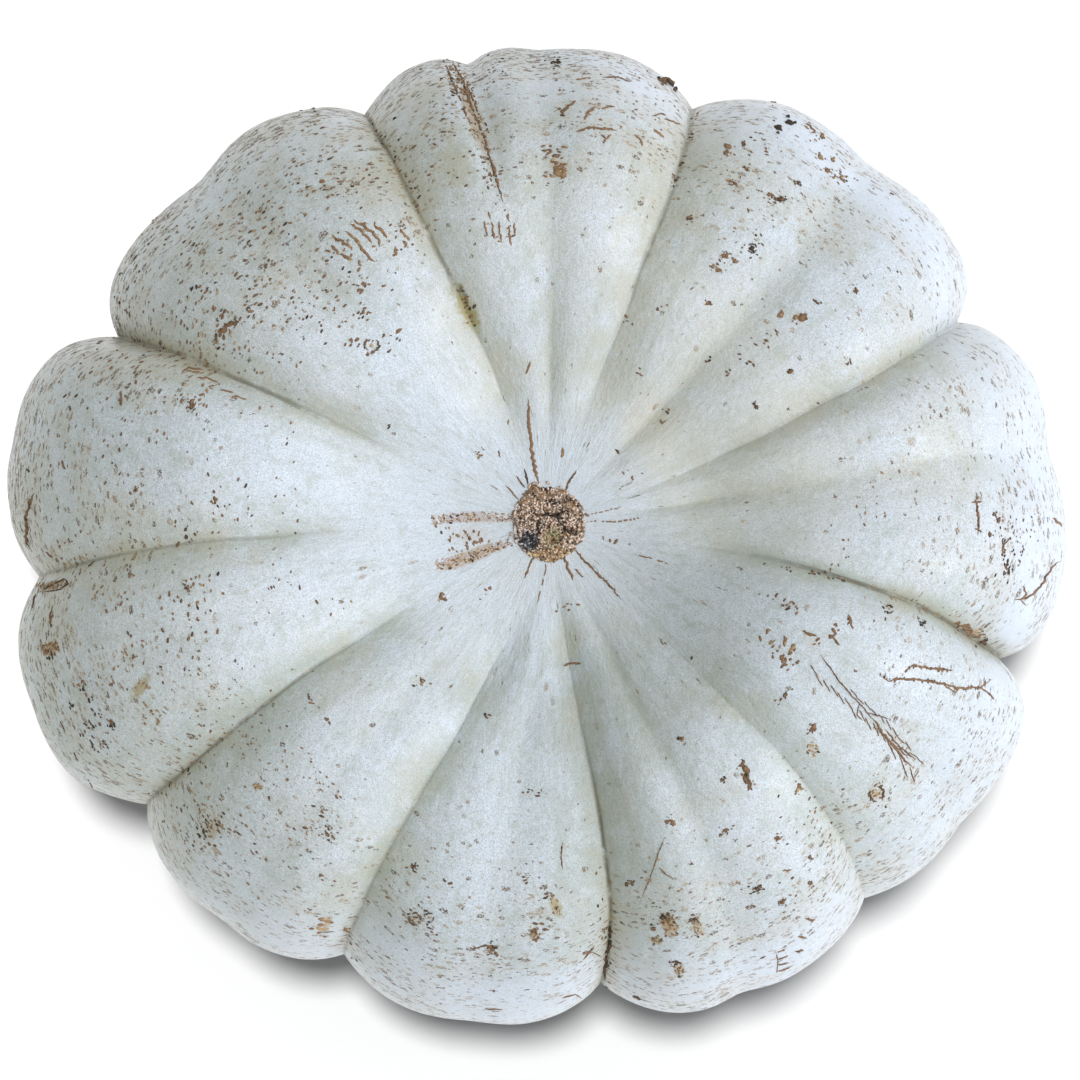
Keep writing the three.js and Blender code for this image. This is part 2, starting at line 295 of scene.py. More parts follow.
class Crust:
    """Corky material laid on the skin. Each point has a tone: 0 nearly black, 0.5 brown, 1 pale tan."""

    def __init__(self):
        self.points, self.faces, self.tones = [], [], []

    def lump(self, centre, length, width, lean, height, tone, rim=0.0, rows=2, ragged=0.18):
        """A low rounded lump. Sizes are half widths and lean is its long direction. rim darkens its edge."""
        middle, up = foothold(centre)
        if middle is None:
            return
        columns = 7 if rows < 3 else 14
        along = Vector((math.cos(math.radians(lean)), math.sin(math.radians(lean)), 0))
        along = (along - up * along.dot(up)).normalized()
        beside = up.cross(along)
        placed = [(middle + up * height, tone)]
        swing = RNG.normal(0, ragged, columns)
        swing = (swing + np.roll(swing, 1)) / 1.4
        for row in range(1, rows + 1):
            out = row / rows
            for column in range(columns):
                turn = 2 * math.pi * column / columns
                stretch = out * (1 + swing[column] * out)
                spot = along * (math.cos(turn) * length * stretch)
                spot += beside * (math.sin(turn) * width * stretch)
                lift = height * (1 - out ** 2.4) * RNG.uniform(0.75, 1.2) if row < rows else -EDGE_DIP
                nearest, normal, _, _ = SKIN.find_nearest(middle + spot)
                placed.append((nearest + normal * lift, tone - rim * out ** 3))
        first = len(self.points)
        self.points += [place for place, _ in placed]
        self.tones += [shade for _, shade in placed]
        for column in range(columns):
            after = (column + 1) % columns
            self.faces.append((first, first + 1 + column, first + 1 + after))
            for row in range(1, rows):
                inner = first + 1 + (row - 1) * columns
                outer = inner + columns
                self.faces.append((inner + column, outer + column, outer + after, inner + after))

    def stroke(self, width, height, tone, *stops, ragged=0.35, gaps=0.0):
        """A raised streak through the stops, each given by azimuth and distance, pointed at both ends."""
        self.trace(width, height, tone, [from_axis(*stop) for stop in stops], ragged, gaps)

    def trace(self, width, height, tone, path, ragged=0.35, gaps=0.0):
        spots = []
        for start, end in zip(path, path[1:]):
            steps = max(2, round((end - start).length / STROKE_STEP))
            spots += [start.lerp(end, step / steps) for step in range(steps)]
        spots.append(path[-1])
        across = (-1.0, -0.5, 0.0, 0.5, 1.0)
        before, drift = None, 0.0
        for row, spot in enumerate(spots):
            ahead = spots[min(row + 1, len(spots) - 1)] - spots[max(row - 1, 0)]
            beside = Vector((-ahead.y, ahead.x)).normalized()
            taper = min(1.0, 1.6 * math.sin(math.pi * (row + 0.35) / (len(spots) - 0.3)) + 0.15)
            drift = drift * 0.7 + RNG.normal(0, 0.12 * width)
            sides = [RNG.uniform(1 - ragged, 1 + ragged) for _ in range(2)]
            placed = []
            for offset in across:
                side = sides[0] if offset < 0 else sides[1]
                lift = height * taper * (1 - offset ** 2) * RNG.uniform(0.5, 1.2)
                lift -= EDGE_DIP if abs(offset) == 1 else 0
                placed.append(land(spot + beside * (drift + offset * width * 0.4 * taper * side), lift))
            if any(place is None for place in placed):
                before = None
                continue
            first = len(self.points)
            self.points += placed
            shade = tone + RNG.normal(0, 0.1)
            self.tones += [shade - 0.18 * abs(offset) for offset in across]
            if before is not None and RNG.random() >= gaps:
                for column in range(len(across) - 1):
                    low, high = before + column, first + column
                    self.faces.append((low, low + 1, high + 1, high))
            before = first

    def crumbs(self, count, size, tone, azimuth, distance, far, tall, lean=None):
        """Lumps scattered about a place: far is the half width around the axis, tall the one out from it."""
        for _ in range(count):
            out, turn = RNG.normal(0, 0.5), RNG.normal(0, 0.5)
            spot = from_axis(azimuth + math.degrees(far * turn / distance), distance + tall * out)
            bulk = size * RNG.uniform(0.55, 1.3)
            facing = azimuth + 90 + RNG.normal(0, 25) if lean is None else lean + RNG.normal(0, 15)
            length, shade = bulk * RNG.uniform(1.0, 1.9), tone + RNG.normal(0, 0.14)
            self.lump(spot, length, bulk * 0.8, facing, 0.3, shade, 0.2)

    def grit(self, count, size, tone, azimuth, distance, far, tall):
        """Close, low grains that run together into a rough film."""
        for _ in range(count):
            spot = from_axis(azimuth + math.degrees(far * RNG.uniform(-0.5, 0.5) / distance),
                             distance + tall * RNG.uniform(-0.5, 0.5))
            bulk = size * RNG.uniform(0.6, 1.2)
            facing, shade = azimuth + RNG.normal(0, 25), tone + RNG.normal(0, 0.25)
            self.lump(spot, bulk * 1.5, bulk * 0.8, facing, 0.22, shade, 0.3)

    def scatter(self, clusters, sector, belt, size, tone):
        """Loose clusters of crumbs between two directions and two distances."""
        for _ in range(clusters):
            azimuth, distance, count = RNG.uniform(*sector), RNG.uniform(*belt), int(RNG.integers(2, 11))
            self.crumbs(count, size, tone + RNG.normal(0, 0.08), azimuth, distance, 9.0, 6.0)

    def patch(self, azimuth, distance, length, width, tone, lean=None, rim=0.35):
        """A crusty patch, lying across the ray from the scar unless it leans, with crumbs round it."""
        facing = azimuth + 90 if lean is None else lean
        along = Vector((math.cos(math.radians(facing)), math.sin(math.radians(facing))))
        beside = Vector((-along.y, along.x))
        for piece in range(int(5 + length * width)):
            shift = along * RNG.normal(0, 0.45 * length) + beside * RNG.normal(0, 0.45 * width)
            bulk = (0.25 + 0.2 * width) * RNG.uniform(0.6, 1.3)
            heading, shade = facing + RNG.normal(0, 30), tone + RNG.normal(0, 0.14)
            spot = from_axis(azimuth, distance) + shift
            self.lump(spot, bulk * 1.5, bulk, heading, 0.35, shade, rim, 3, 0.3)
        self.crumbs(int(5 + length * 2), 0.32, tone - 0.15, azimuth, distance, length * 1.5, width * 1.9)

    def knob(self, azimuth, distance, size, tone):
        """A thick lump with smaller ones grown on to it."""
        centre = from_axis(azimuth, distance)
        self.lump(centre, size, size * 1.1, azimuth + 90, size * 0.55, tone, 0.35, 3, 0.25)
        for _ in range(4):
            spot = centre + Vector((RNG.normal(0, 0.7), RNG.normal(0, 0.7))) * size
            shade = tone + RNG.normal(0, 0.12)
            self.lump(spot, size * 0.5, size * 0.45, azimuth + 90, size * 0.5, shade, 0.3)

    def wart(self, azimuth, distance, size, tone):
        """A pale scab with a dark raised rim."""
        centre = from_axis(azimuth, distance)
        self.lump(centre, size * 0.3, size * 0.25, azimuth + 90, 0.25, tone + 0.3, 0.1, 3, 0.3)
        start = RNG.uniform(0, 360)
        for turn in (start, start + 170):
            ring = []
            for step in range(9):
                heading = math.radians(turn + step * RNG.uniform(15, 19))
                outward = Vector((math.cos(heading), math.sin(heading)))
                ring.append(centre + outward * size * RNG.uniform(0.7, 0.92))
            self.trace(size * 0.36, 0.5, tone * 0.55, ring, 0.6, 0.06)
        self.crumbs(5, 0.4, tone * 0.6, azimuth, distance, size * 3, size * 3)

    def finish(self, name):
        made = add_object(name, [Vector(point) for point in self.points], self.faces)
        add_values(made.data, "tone", self.tones)
        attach(made, "root")
        return made


STAIN_TINT = ("stain_red", "stain_green", "stain_blue")
# Stains on the skin: azimuth and distance, half length, half width, lean, strength, colour.
STAINS = (
    (111, 70, 11, 3.4, 117, 0.9, (0.29, 0.26, 0.10)),
    (110.3, 75.5, 2.6, 1.5, 117, 0.85, (0.09, 0.07, 0.03)),
    (104.5, 113, 11, 7, 100, 0.5, (0.41, 0.40, 0.26)),
    (113, 96, 16, 5, 112, 0.35, (0.42, 0.41, 0.29)),
    (100.4, 126, 22, 3.0, 109, 0.7, (0.34, 0.26, 0.15)),
    (201.8, 133.7, 6.8, 2.4, 53, 0.85, (0.38, 0.35, 0.21)),
    (187.2, 152.5, 5.2, 2.0, 23, 0.95, (0.24, 0.21, 0.11)),
    (194.1, 156.6, 3.2, 2.4, 25, 0.95, (0.30, 0.24, 0.12)),
    (222.2, 138.4, 5.5, 4.0, 50, 0.5, (0.40, 0.35, 0.20)),
    (240.9, 138.6, 2.8, 1.7, 65, 0.75, (0.42, 0.25, 0.07)),
    (243.4, 138.1, 1.1, 1.0, 0, 0.75, (0.42, 0.25, 0.07)),
    (271.0, 116.3, 4.2, 2.4, 117, 0.95, (0.40, 0.34, 0.19)),
    (268, 125.1, 2.4, 1.8, 30, 0.8, (0.33, 0.20, 0.09)),
    (286.8, 127.3, 4.6, 3.0, 110, 0.9, (0.42, 0.29, 0.12)),
    (284.6, 131, 2.6, 1.9, 20, 0.85, (0.36, 0.29, 0.13)),
    (290.3, 131, 4.0, 2.0, 115, 0.7, (0.42, 0.33, 0.18)),
    (286.3, 141.5, 3.4, 2.2, 100, 0.7, (0.42, 0.32, 0.17)),
    (346.4, 106.8, 2.2, 1.5, 0, 0.65, (0.40, 0.33, 0.17)),
    (345.6, 134, 4.0, 1.4, 145, 0.5, (0.42, 0.30, 0.16)),
    (319.5, 106, 3.2, 2.2, 100, 0.6, (0.46, 0.39, 0.25)),
    (336, 88, 5.0, 3.0, 120, 0.35, (0.46, 0.42, 0.30)),
    (175, 23, 12, 2.4, 177, 0.75, (0.43, 0.39, 0.37)),
    (188, 24, 9, 4, 0, 0.3, (0.44, 0.36, 0.27)),
    (203, 26, 14, 2.8, 22, 0.8, (0.42, 0.33, 0.22)),
    (85, 112, 9, 4, 90, 0.2, (0.45, 0.40, 0.27)),
    (88, 108.5, 3.2, 3.6, 90, 0.7, (0.44, 0.33, 0.19)),
    (39.4, 99, 2.6, 2.2, 100, 0.6, (0.44, 0.33, 0.18)),
    (320.5, 129.5, 3.4, 2.6, 20, 0.6, (0.42, 0.36, 0.22)),
)


def add_stains():
    """Marks the skin's points with how deep in a stain they lie, its strength and its colour."""
    points = rind_points - [0, 0, AXIS.z]
    eye = np.array(EYE - AXIS / MM)
    seen = eye[:2] + (points[:, :2] - eye[:2]) * (EYE_HEIGHT / (eye[2] - points[:, 2]))[:, None]
    depth, strength, tint = np.full(len(points), -1.0), np.zeros(len(points)), np.zeros((len(points), 3))
    for turn, distance, length, width, lean, power, colour in STAINS:
        offset = seen - np.array(from_axis(turn, distance))
        ahead = np.array((math.cos(math.radians(lean)), math.sin(math.radians(lean))))
        along = offset @ ahead / length
        across = (offset[:, 1] * ahead[0] - offset[:, 0] * ahead[1]) / width
        inside = 1.0 - np.hypot(along, across)
        held = (inside > depth) & (points[:, 2] > BELLY_HEIGHT)
        depth[held], strength[held], tint[held] = inside[held], power, colour
    add_values(rind.data, "stain_depth", depth)
    add_values(rind.data, "stain_strength", strength)
    for channel, name in enumerate(STAIN_TINT):
        add_values(rind.data, name, tint[:, channel])


add_stains()


def each(kind, *rows, **settings):
    """Makes a mark of this kind from every row."""
    for row in rows:
        kind(*row, **settings)


def make_cork_marks():
    cork = Crust()
    stroke, crumbs, grit, scatter = cork.stroke, cork.crumbs, cork.grit, cork.scatter
    patch, knob, wart = cork.patch, cork.knob, cork.wart

    # Cracks that run out of the scar.
    each(stroke, (1.5, 0.35, 0.5, (105, 11.5), (104, 20), (101, 30), (99.3, 38.5)),
         (0.9, 0.3, 0.3, (118, 13.5), (114, 18.3)), (0.7, 0.3, 0.42, (124, 13), (124, 17.6)),
         (0.7, 0.3, 0.5, (141, 11.5), (138, 17.5)), (1, 0.3, 0.3, (65, 11), (63, 18.3)))
    stroke(1, 0.35, 0.42, (316, 10.5), (314.5, 20), (314, 32), ragged=0.6)
    each(stroke, (1.2, 0.35, 0.48, (295, 10), (293, 15), (294, 18.8)),
         (0.8, 0.3, 0.5, (300, 16), (303, 19.5)), (1, 0.3, 0.42, (246, 10), (245, 14), (246, 18.3)))
    stroke(0.6, 0.2, 0.55, (268, 10), (265, 17), (262, 25), gaps=0.3)
    stroke(0.8, 0.25, 0.55, (3, 11.5), (2, 20), (3.5, 30), gaps=0.35)
    stroke(0.6, 0.2, 0.6, (12, 11.5), (13.5, 23), gaps=0.4)
    stroke(0.7, 0.2, 0.55, (341, 28), (341.5, 38.5), gaps=0.35)
    for step in range(8):
        turn, distance = 172 + step * 0.9, 13 + step * 3
        grit(20, 0.42, 1.35, turn, distance, 2.6, 3.2)
        grit(9, 0.4, 0.45, turn, distance, 2.6, 3.2)
        grit(18, 0.42, 1.3, 204.5 - step * 0.6, distance + 1, 2.8, 3.2)
        grit(10, 0.4, 0.48, 206 - step * 0.6, distance + 1, 2.4, 3.2)
    each(crumbs, (26, 0.5, 0.6, 196, 25.5, 3.2, 7), (12, 0.45, 0.55, 188, 27, 2.2, 7),
         (5, 0.45, 0.5, 184, 32, 2, 5))
    each(stroke, (1.2, 0.3, 0.6, (79, 20.5), (80.5, 23.5)), (0.8, 0.2, 0.5, (112, 32.5), (111, 34)),
         (0.8, 0.2, 0.45, (126, 25), (124, 27)))
    each(crumbs, (4, 0.5, 0.3, 46, 30.4, 1, 0.6), (7, 0.42, 0.5, 135, 30, 2, 1.6),
         (8, 0.55, 0.5, 215, 39.5, 1.4, 1.4), (6, 0.4, 0.5, 228, 28, 1.8, 4), (6, 0.4, 0.5, 282, 26, 4, 1.4),
         (5, 0.45, 0.45, 344, 22, 1.5, 4), (6, 0.4, 0.5, 32, 29, 3, 4))

    # Right and upper right.
    each(patch, (62.9, 130, 0.8, 0.8, 0.45), (61.8, 146, 1.2, 1, 0.4), (56.3, 144.5, 2.4, 0.9, 0.62),
         (54.8, 144.5, 1.4, 0.8, 0.6), (51.5, 137, 1.5, 0.9, 0.6), (49.8, 138, 1.5, 0.9, 0.55),
         (60.8, 123.5, 1, 0.7, 0.5), (61.7, 118, 2, 0.6, 0.58), (55.4, 120.5, 2.8, 1, 0.45),
         (54.4, 121.5, 1.4, 0.9, 0.2), (37.3, 117.5, 1.8, 0.6, 0.58), (56.6, 97.5, 0.8, 1.2, 0.58),
         (54.7, 98, 0.6, 0.6, 0.5), (56.6, 93, 2.4, 0.8, 0.62), (32.4, 87, 0.8, 0.9, 0.4),
         (53.8, 128.5, 1.4, 0.6, 0.42), (54.1, 83, 1.4, 0.5, 0.55), (29.8, 72.6, 1.4, 0.6, 0.35),
         (65.2, 102.5, 0.8, 0.8, 0.45))
    each(knob, (64.6, 127, 1.2, 0.6), (64.4, 125, 0.8, 0.45), (59.8, 139.5, 1.3, 0.12),
         (58.9, 142.5, 1.4, 0.08), (53.4, 139, 1, 0.66), (52, 140.5, 0.9, 0.64), (42, 95, 0.9, 0.66),
         (39.2, 99.6, 1.2, 0.5), (39.8, 98, 0.9, 0.68), (75.6, 139.2, 1.6, 0.3), (74.8, 139.2, 2.4, 0.25),
         (74, 139.1, 1.7, 0.3))
    wart(53.5, 104.3, 1.6, 0.2)
    cork.lump(from_axis(53.5, 104.3), 1, 0.9, 0, 0.4, 0.12, 0.1, 3, 0.3)
    for turn, distance in (
        (69.9, 125.5), (70.1, 131.5), (69.5, 110), (69.5, 117), (45.7, 69.5), (40, 71.5), (39.1, 78),
        (44, 49.5), (28.3, 103), (39.8, 106.5), (69.1, 66), (58.6, 53.5), (62.6, 73.5),
    ):
        crumbs(4, 0.5, 0.3, turn, distance, 1.4, 2)
    each(crumbs, (26, 0.42, 0.45, 50.5, 138, 12, 9), (22, 0.4, 0.42, 60, 130, 9, 12),
         (20, 0.4, 0.42, 55, 110, 9, 16), (16, 0.4, 0.42, 41, 84, 4, 12))

    # Top.
    patch(89.1, 141, 2, 1.4, 0.15)
    for width, tone, *stops in (
        (1.1, 0.45, (88.1, 125.5), (87.3, 127.5), (86.3, 129)),
        (1.2, 0.55, (85, 123.5), (84.3, 126.5), (83.6, 128)),
        (0.7, 0.42, (82.7, 127.5), (81.9, 128.5), (81.1, 128.5)),
        (0.9, 0.45, (82.4, 119.5), (81.6, 118.5), (81.9, 117)),
        (1.1, 0.42, (86, 119.5), (84.8, 120.5), (83.5, 121.5), (81.6, 121.5), (80.3, 121.5)),
        (0.8, 0.5, (80.9, 120), (81.4, 118.5)), (0.9, 0.62, (77.5, 121.5), (76.8, 120.5), (76, 118.5)),
        (0.9, 0.62, (75.1, 124.5), (74.3, 124), (73.3, 123)),
        (0.5, 0.4, (75.7, 128), (74.7, 129.5), (73.9, 129.5)),
        (0.6, 0.42, (74.1, 128), (72.9, 128.5), (71.7, 128)),
        (0.5, 0.4, (83, 137), (81.2, 137.6), (79.4, 137)), (0.5, 0.4, (86.5, 135.5), (85, 136.2)),
        (0.6, 0.35, (80, 146.8), (83, 146.2)),
    ):
        stroke(width, 0.35, tone, *stops, ragged=0.6)
    crumbs(6, 0.6, 0.2, 88.2, 125.5, 1.6, 1.6)
    patch(87.9, 107.5, 1.9, 2.2, 0.55)
    each(crumbs, (24, 0.6, 0.5, 88.6, 110, 3.6, 6), (8, 0.55, 0.45, 90.2, 114, 1.2, 2),
         (40, 0.4, 0.42, 80, 132, 26, 14))
    for width, tone in ((1.1, 0.45), (0.7, 0.3)):
        stroke(width, 0.4, tone, (101.9, 145), (101, 138), (100.3, 128), (99.5, 119.5), (98.9, 110),
               (98.1, 99), ragged=0.8, gaps=0.3)
    stroke(0.9, 0.4, 0.4, (103, 147), (102.4, 140), (101.7, 132), (101, 123), ragged=0.8, gaps=0.35)
    stroke(0.7, 0.35, 0.4, (100.6, 136), (99.9, 129), (99.4, 124), ragged=0.8, gaps=0.3)
    each(crumbs, (26, 0.45, 0.42, 100.9, 136.5, 4.2, 7, 100), (24, 0.42, 0.4, 99.4, 116, 2.4, 16, 105))
    each(grit, (70, 0.5, 0.45, 101.8, 140, 4.6, 13), (40, 0.45, 0.42, 100.4, 127, 3, 16))
    for turn, distance, length in (
        (96.6, 90.5, 1.8), (97.6, 88.5, 3), (99.4, 90, 3.4), (100.6, 91, 2.6), (102, 92, 2.2),
        (97.4, 94, 1.2), (100.9, 95.5, 1.2),
    ):
        stroke(0.95, 0.3, 0.55, (turn, distance + length), (turn + 0.1, distance), (turn, distance - length),
               ragged=0.5)
    crumbs(9, 0.4, 0.5, 99.5, 91.5, 7, 5)
    stroke(0.9, 0.3, 0.55, (96.4, 49.8), (98.6, 46))
    each(crumbs, (18, 0.45, 0.42, 103, 118, 6, 16), (14, 0.55, 0.38, 110.4, 70, 2.4, 8),
         (16, 0.45, 0.35, 112.4, 115, 2, 14))

    # Upper left, with a patch of short slanting strokes.
    for stops in (
        ((129.1, 107.5), (128.9, 106)), ((128, 107.5), (127.7, 104)),
        ((126.8, 110), (126.2, 106.5), (125.7, 102.5)),
        ((124.9, 108.5), (124.2, 105), (124.1, 102), (123.9, 98.5), (123.8, 95.5)),
        ((123.5, 109.5), (122.8, 107), (122.3, 103.5), (122.3, 101)),
        ((122.6, 110), (121.8, 106.5), (121, 103.5), (120.8, 101), (121.3, 98.5)),
        ((120.2, 105.5), (119.6, 102.5), (119.2, 100)), ((116.8, 100.5), (116.4, 98), (116.2, 96)),
        ((117, 97), (116.8, 95.5), (117.4, 94.5)), ((119, 96.5), (119.2, 94.5), (120.2, 94)),
        ((127.4, 103.5), (126.6, 100)), ((125.8, 99), (125.9, 97)),
    ):
        stroke(1.3, 0.4, 0.6, *stops)
    each(crumbs, (16, 0.5, 0.45, 125, 104, 9, 4.5), (5, 0.5, 0.4, 127.5, 91, 1.8, 1.2),
         (5, 0.5, 0.4, 131.5, 86, 1.8, 1.2), (7, 0.5, 0.45, 129, 73.5, 2.4, 2))
    wart(134.8, 76.5, 2.5, 0.6)
    for turn, distance in (
        (137.1, 82), (136.3, 80), (136.8, 75.5), (131.7, 86.5), (130.7, 86), (128.7, 92.5), (132.6, 72),
        (131, 84),
    ):
        crumbs(3, 0.5, 0.45, turn, distance, 1.4, 1.4)
    stroke(1.9, 0.45, 0.3, (150, 116), (149.2, 115), (147.8, 114.5), (146.7, 113), ragged=0.6)
    stroke(1, 0.4, 0.75, (148.6, 114), (149.5, 112), ragged=0.5)
    crumbs(8, 0.6, 0.3, 149.2, 115, 2.4, 2)
    knob(149.3, 115.2, 0.9, 0.5)
    each(crumbs, (5, 0.55, 0.4, 146.9, 117.5, 1.6, 1.4), (7, 0.5, 0.42, 141.2, 119.5, 2.4, 2),
         (5, 0.5, 0.4, 137.1, 116.5, 1.6, 1.6), (7, 0.5, 0.35, 141.9, 136.5, 2.6, 1.8),
         (3, 0.5, 0.25, 148.5, 57, 0.8, 0.6))
    for stops in (
        ((157.6, 121), (156.5, 119.5), (156, 115)), ((157.2, 120), (156.5, 115.5)),
        ((157.5, 116), (156.9, 113), (156.8, 109.5)), ((158, 111.5), (157.5, 110)),
        ((157.8, 108), (157.4, 104)), ((158.4, 104), (157.9, 102.5), (157.6, 99.5)),
    ):
        stroke(0.8, 0.3, 0.5, *stops, ragged=0.5)
    patch(161.5, 114.5, 1.8, 1.2, 0.45)
    each(crumbs, (14, 0.45, 0.42, 161.8, 116, 5, 7), (6, 0.5, 0.35, 163.6, 136, 2, 1.2))
    each(scatter, (50, (112, 158), (110, 152), 0.5, 0.4), (22, (116, 156), (84, 112), 0.42, 0.42),
         (34, (150, 200), (100, 154), 0.5, 0.44), (10, (160, 200), (62, 100), 0.42, 0.42),
         (22, (198, 262), (112, 148), 0.42, 0.42), (18, (206, 234), (98, 140), 0.34, 0.5),
         (10, (96, 112), (100, 146), 0.45, 0.4), (4, (346, 376), (84, 110), 0.4, 0.5))

    # Left.
    crumbs(7, 0.5, 0.35, 176.5, 102, 3.2, 1.8)
    patch(189.8, 111.8, 2.6, 0.9, 0.4)
    crumbs(5, 0.5, 0.35, 175, 126.5, 2, 1.2)
    grit(10, 0.42, 0.7, 201.8, 133.7, 3, 5)
    stroke(1.4, 0.35, 0.34, (176.6, 156.9), (178.2, 158.6), (180, 159.3), (181.6, 159), (182.8, 158.4),
           ragged=0.6)
    each(stroke, (0.9, 0.3, 0.4, (174.4, 159), (174, 160)), (0.9, 0.3, 0.4, (173.6, 148), (172.6, 149.5)),
         (0.8, 0.3, 0.42, (183.9, 151.5), (183.2, 153.4)), (0.8, 0.3, 0.42, (190.4, 153.4), (191.2, 155.2)),
         (1.1, 0.3, 0.42, (164.6, 135), (162.8, 136.6)), ragged=0.5)
    stroke(0.8, 0.3, 0.35, (189.5, 153), (190.5, 154.5), (192, 155), ragged=0.6, gaps=0.25)
    stroke(0.7, 0.3, 0.35, (187.8, 157.5), (188.6, 158.5), (189.4, 159.5))
    stroke(0.6, 0.3, 0.2, (187.7, 157), (187.3, 154), (186.6, 148.5), (187.1, 147.5), (187.6, 150),
           (187.7, 156))
    each(grit, (60, 0.6, 0.72, 187.1, 152.5, 2.2, 9), (70, 0.6, 0.7, 194.1, 156.4, 3.8, 4.8))
    crumbs(5, 0.6, 0.1, 194.8, 157.5, 1.4, 1.4)
    for turn, distance, count in (
        (200.8, 155.5, 4), (199.4, 150.5, 5), (204.6, 146.5, 6), (201.1, 149.5, 3), (202.6, 149.5, 3),
        (203.4, 153, 2), (204, 150.5, 3), (204.4, 155, 2), (205.2, 154, 3), (205.9, 153.5, 2),
        (206.7, 153, 2), (207.1, 151.5, 2), (206.3, 149.5, 2),
    ):
        crumbs(count, 0.5, 0.16, turn, distance, 1.5, 1.5)
    each(crumbs, (18, 0.4, 0.35, 205, 150, 9, 7), (12, 0.45, 0.5, 205.7, 134.5, 3.4, 3.4),
         (10, 0.45, 0.55, 190, 132, 4, 5), (8, 0.42, 0.5, 198.5, 151, 4, 3))
    for turn in (202, 205.5, 209, 212.5):
        stroke(0.5, 0.25, 0.4, (turn, 160.5), (turn + 1.3, 160.5), gaps=0.1)

    # Lower left.
    each(crumbs, (34, 0.45, 0.35, 222.2, 138.4, 4.4, 7.6), (14, 0.5, 0.12, 221.8, 139.5, 4, 6),
         (14, 0.42, 0.45, 224.6, 132.5, 4, 3), (10, 0.45, 0.5, 219.6, 137.5, 3, 2.6),
         (8, 0.42, 0.4, 214.2, 133.5, 1.6, 3.4))
    patch(222, 119, 1.6, 1.2, 0.7, rim=0.2)
    each(crumbs, (6, 0.5, 0.4, 216.5, 90, 2.6, 1), (4, 0.5, 0.4, 221.5, 90, 1, 1))
    patch(235, 116, 2, 0.9, 0.42)
    crumbs(12, 0.42, 0.45, 231.5, 62, 3, 5)
    stroke(0.8, 0.3, 0.35, (213, 39.5), (216, 39.3))

    # Bottom.
    crumbs(11, 0.85, 0.66, 240.9, 138.6, 3, 4.6)
    knob(243.4, 138.1, 0.8, 0.6)
    stroke(0.9, 0.3, 0.35, (259.6, 131.5), (261.4, 130.2), (263.4, 129.5), ragged=0.6)
    each(stroke, (0.5, 0.25, 0.42, (274.8, 130.5), (276, 131.5), (277, 133)),
         (0.5, 0.25, 0.42, (271.6, 144.5), (273.2, 143.5), (274, 145)),
         (0.5, 0.25, 0.42, (262.5, 149), (264.6, 148.6)))
    stroke(0.9, 0.3, 0.35, (274.5, 133), (275.3, 131.5), (276.2, 129.5), ragged=0.6)
    each(wart, (251.3, 127, 2.2, 0.55), (253.2, 125.2, 1.7, 0.5))
    crumbs(10, 0.5, 0.4, 252, 126, 4.6, 3.4)
    patch(248.5, 112, 1.2, 0.8, 0.3)
    crumbs(5, 0.45, 0.35, 254, 113.5, 2, 0.8)
    patch(262.4, 131, 1.6, 1.7, 0.4)
    grit(24, 0.5, 0.55, 268, 125.1, 3.4, 4.6)
    each(crumbs, (7, 0.55, 0.25, 268.2, 124.4, 2.8, 3), (7, 0.5, 0.42, 270.3, 113.4, 2, 1))
    grit(14, 0.4, 0.65, 271, 116.5, 2, 6)
    each(crumbs, (8, 0.45, 0.4, 266.4, 108, 1.6, 3.6), (5, 0.4, 0.4, 275, 131, 2.6, 0.8),
         (9, 0.4, 0.42, 266.5, 82, 4.6, 1.6), (5, 0.45, 0.3, 252, 61, 1.6, 1.4),
         (26, 0.55, 0.32, 277.6, 132, 1.2, 16, 95))
    stroke(1.4, 0.4, 0.2, (277, 140), (278, 131), (278.8, 122), ragged=0.5, gaps=0.15)

    # Lower right.
    patch(286.3, 124.7, 1.4, 1.1, 0.22)
    each(grit, (34, 0.5, 0.55, 286.8, 127.6, 4.6, 6.5), (14, 0.45, 0.55, 284.6, 131, 2.8, 2.6))
    crumbs(6, 0.5, 0.4, 284.4, 127.5, 1.2, 1)
    patch(289.9, 128.3, 1, 0.6, 0.3)
    grit(22, 0.45, 0.5, 290.3, 131, 2.4, 6)
    patch(286, 139, 1.2, 0.6, 0.35)
    grit(24, 0.5, 0.5, 286.3, 141.5, 3, 4.6)
    each(patch, (282.7, 112, 1.3, 1, 0.35), (292.1, 98, 1.8, 1.1, 0.6), (299.6, 128, 1.9, 1.2, 0.3),
         (301.8, 135.5, 1.2, 1, 0.42), (306.2, 118.5, 1.6, 1.1, 0.5), (313.4, 111, 1, 1.2, 0.62),
         (306, 135, 0.7, 1, 0.5), (308, 129, 0.6, 0.6, 0.4), (322.3, 102, 1, 1.4, 0.42),
         (300, 108, 1.8, 0.6, 0.45), (301.4, 77, 0.7, 0.7, 0.45), (304.2, 94.5, 0.7, 0.7, 0.4))
    each(stroke, (2.6, 0.6, 0.35, (309.4, 92.8), (308.7, 95.5), (307.7, 99), (307.2, 101.8)),
         (1.2, 0.7, 0.12, (309, 93.5), (308.5, 96), (307.4, 101)), ragged=0.6)
    grit(18, 0.5, 0.6, 308.1, 98, 2.4, 8)
    patch(324.1, 89, 1.8, 0.6, 0.42, lean=42)
    grit(16, 0.45, 0.62, 319.5, 106, 4, 4)
    wart(320.5, 129.5, 2.7, 0.6)
    crumbs(10, 0.5, 0.5, 320.5, 129.5, 2.4, 3)
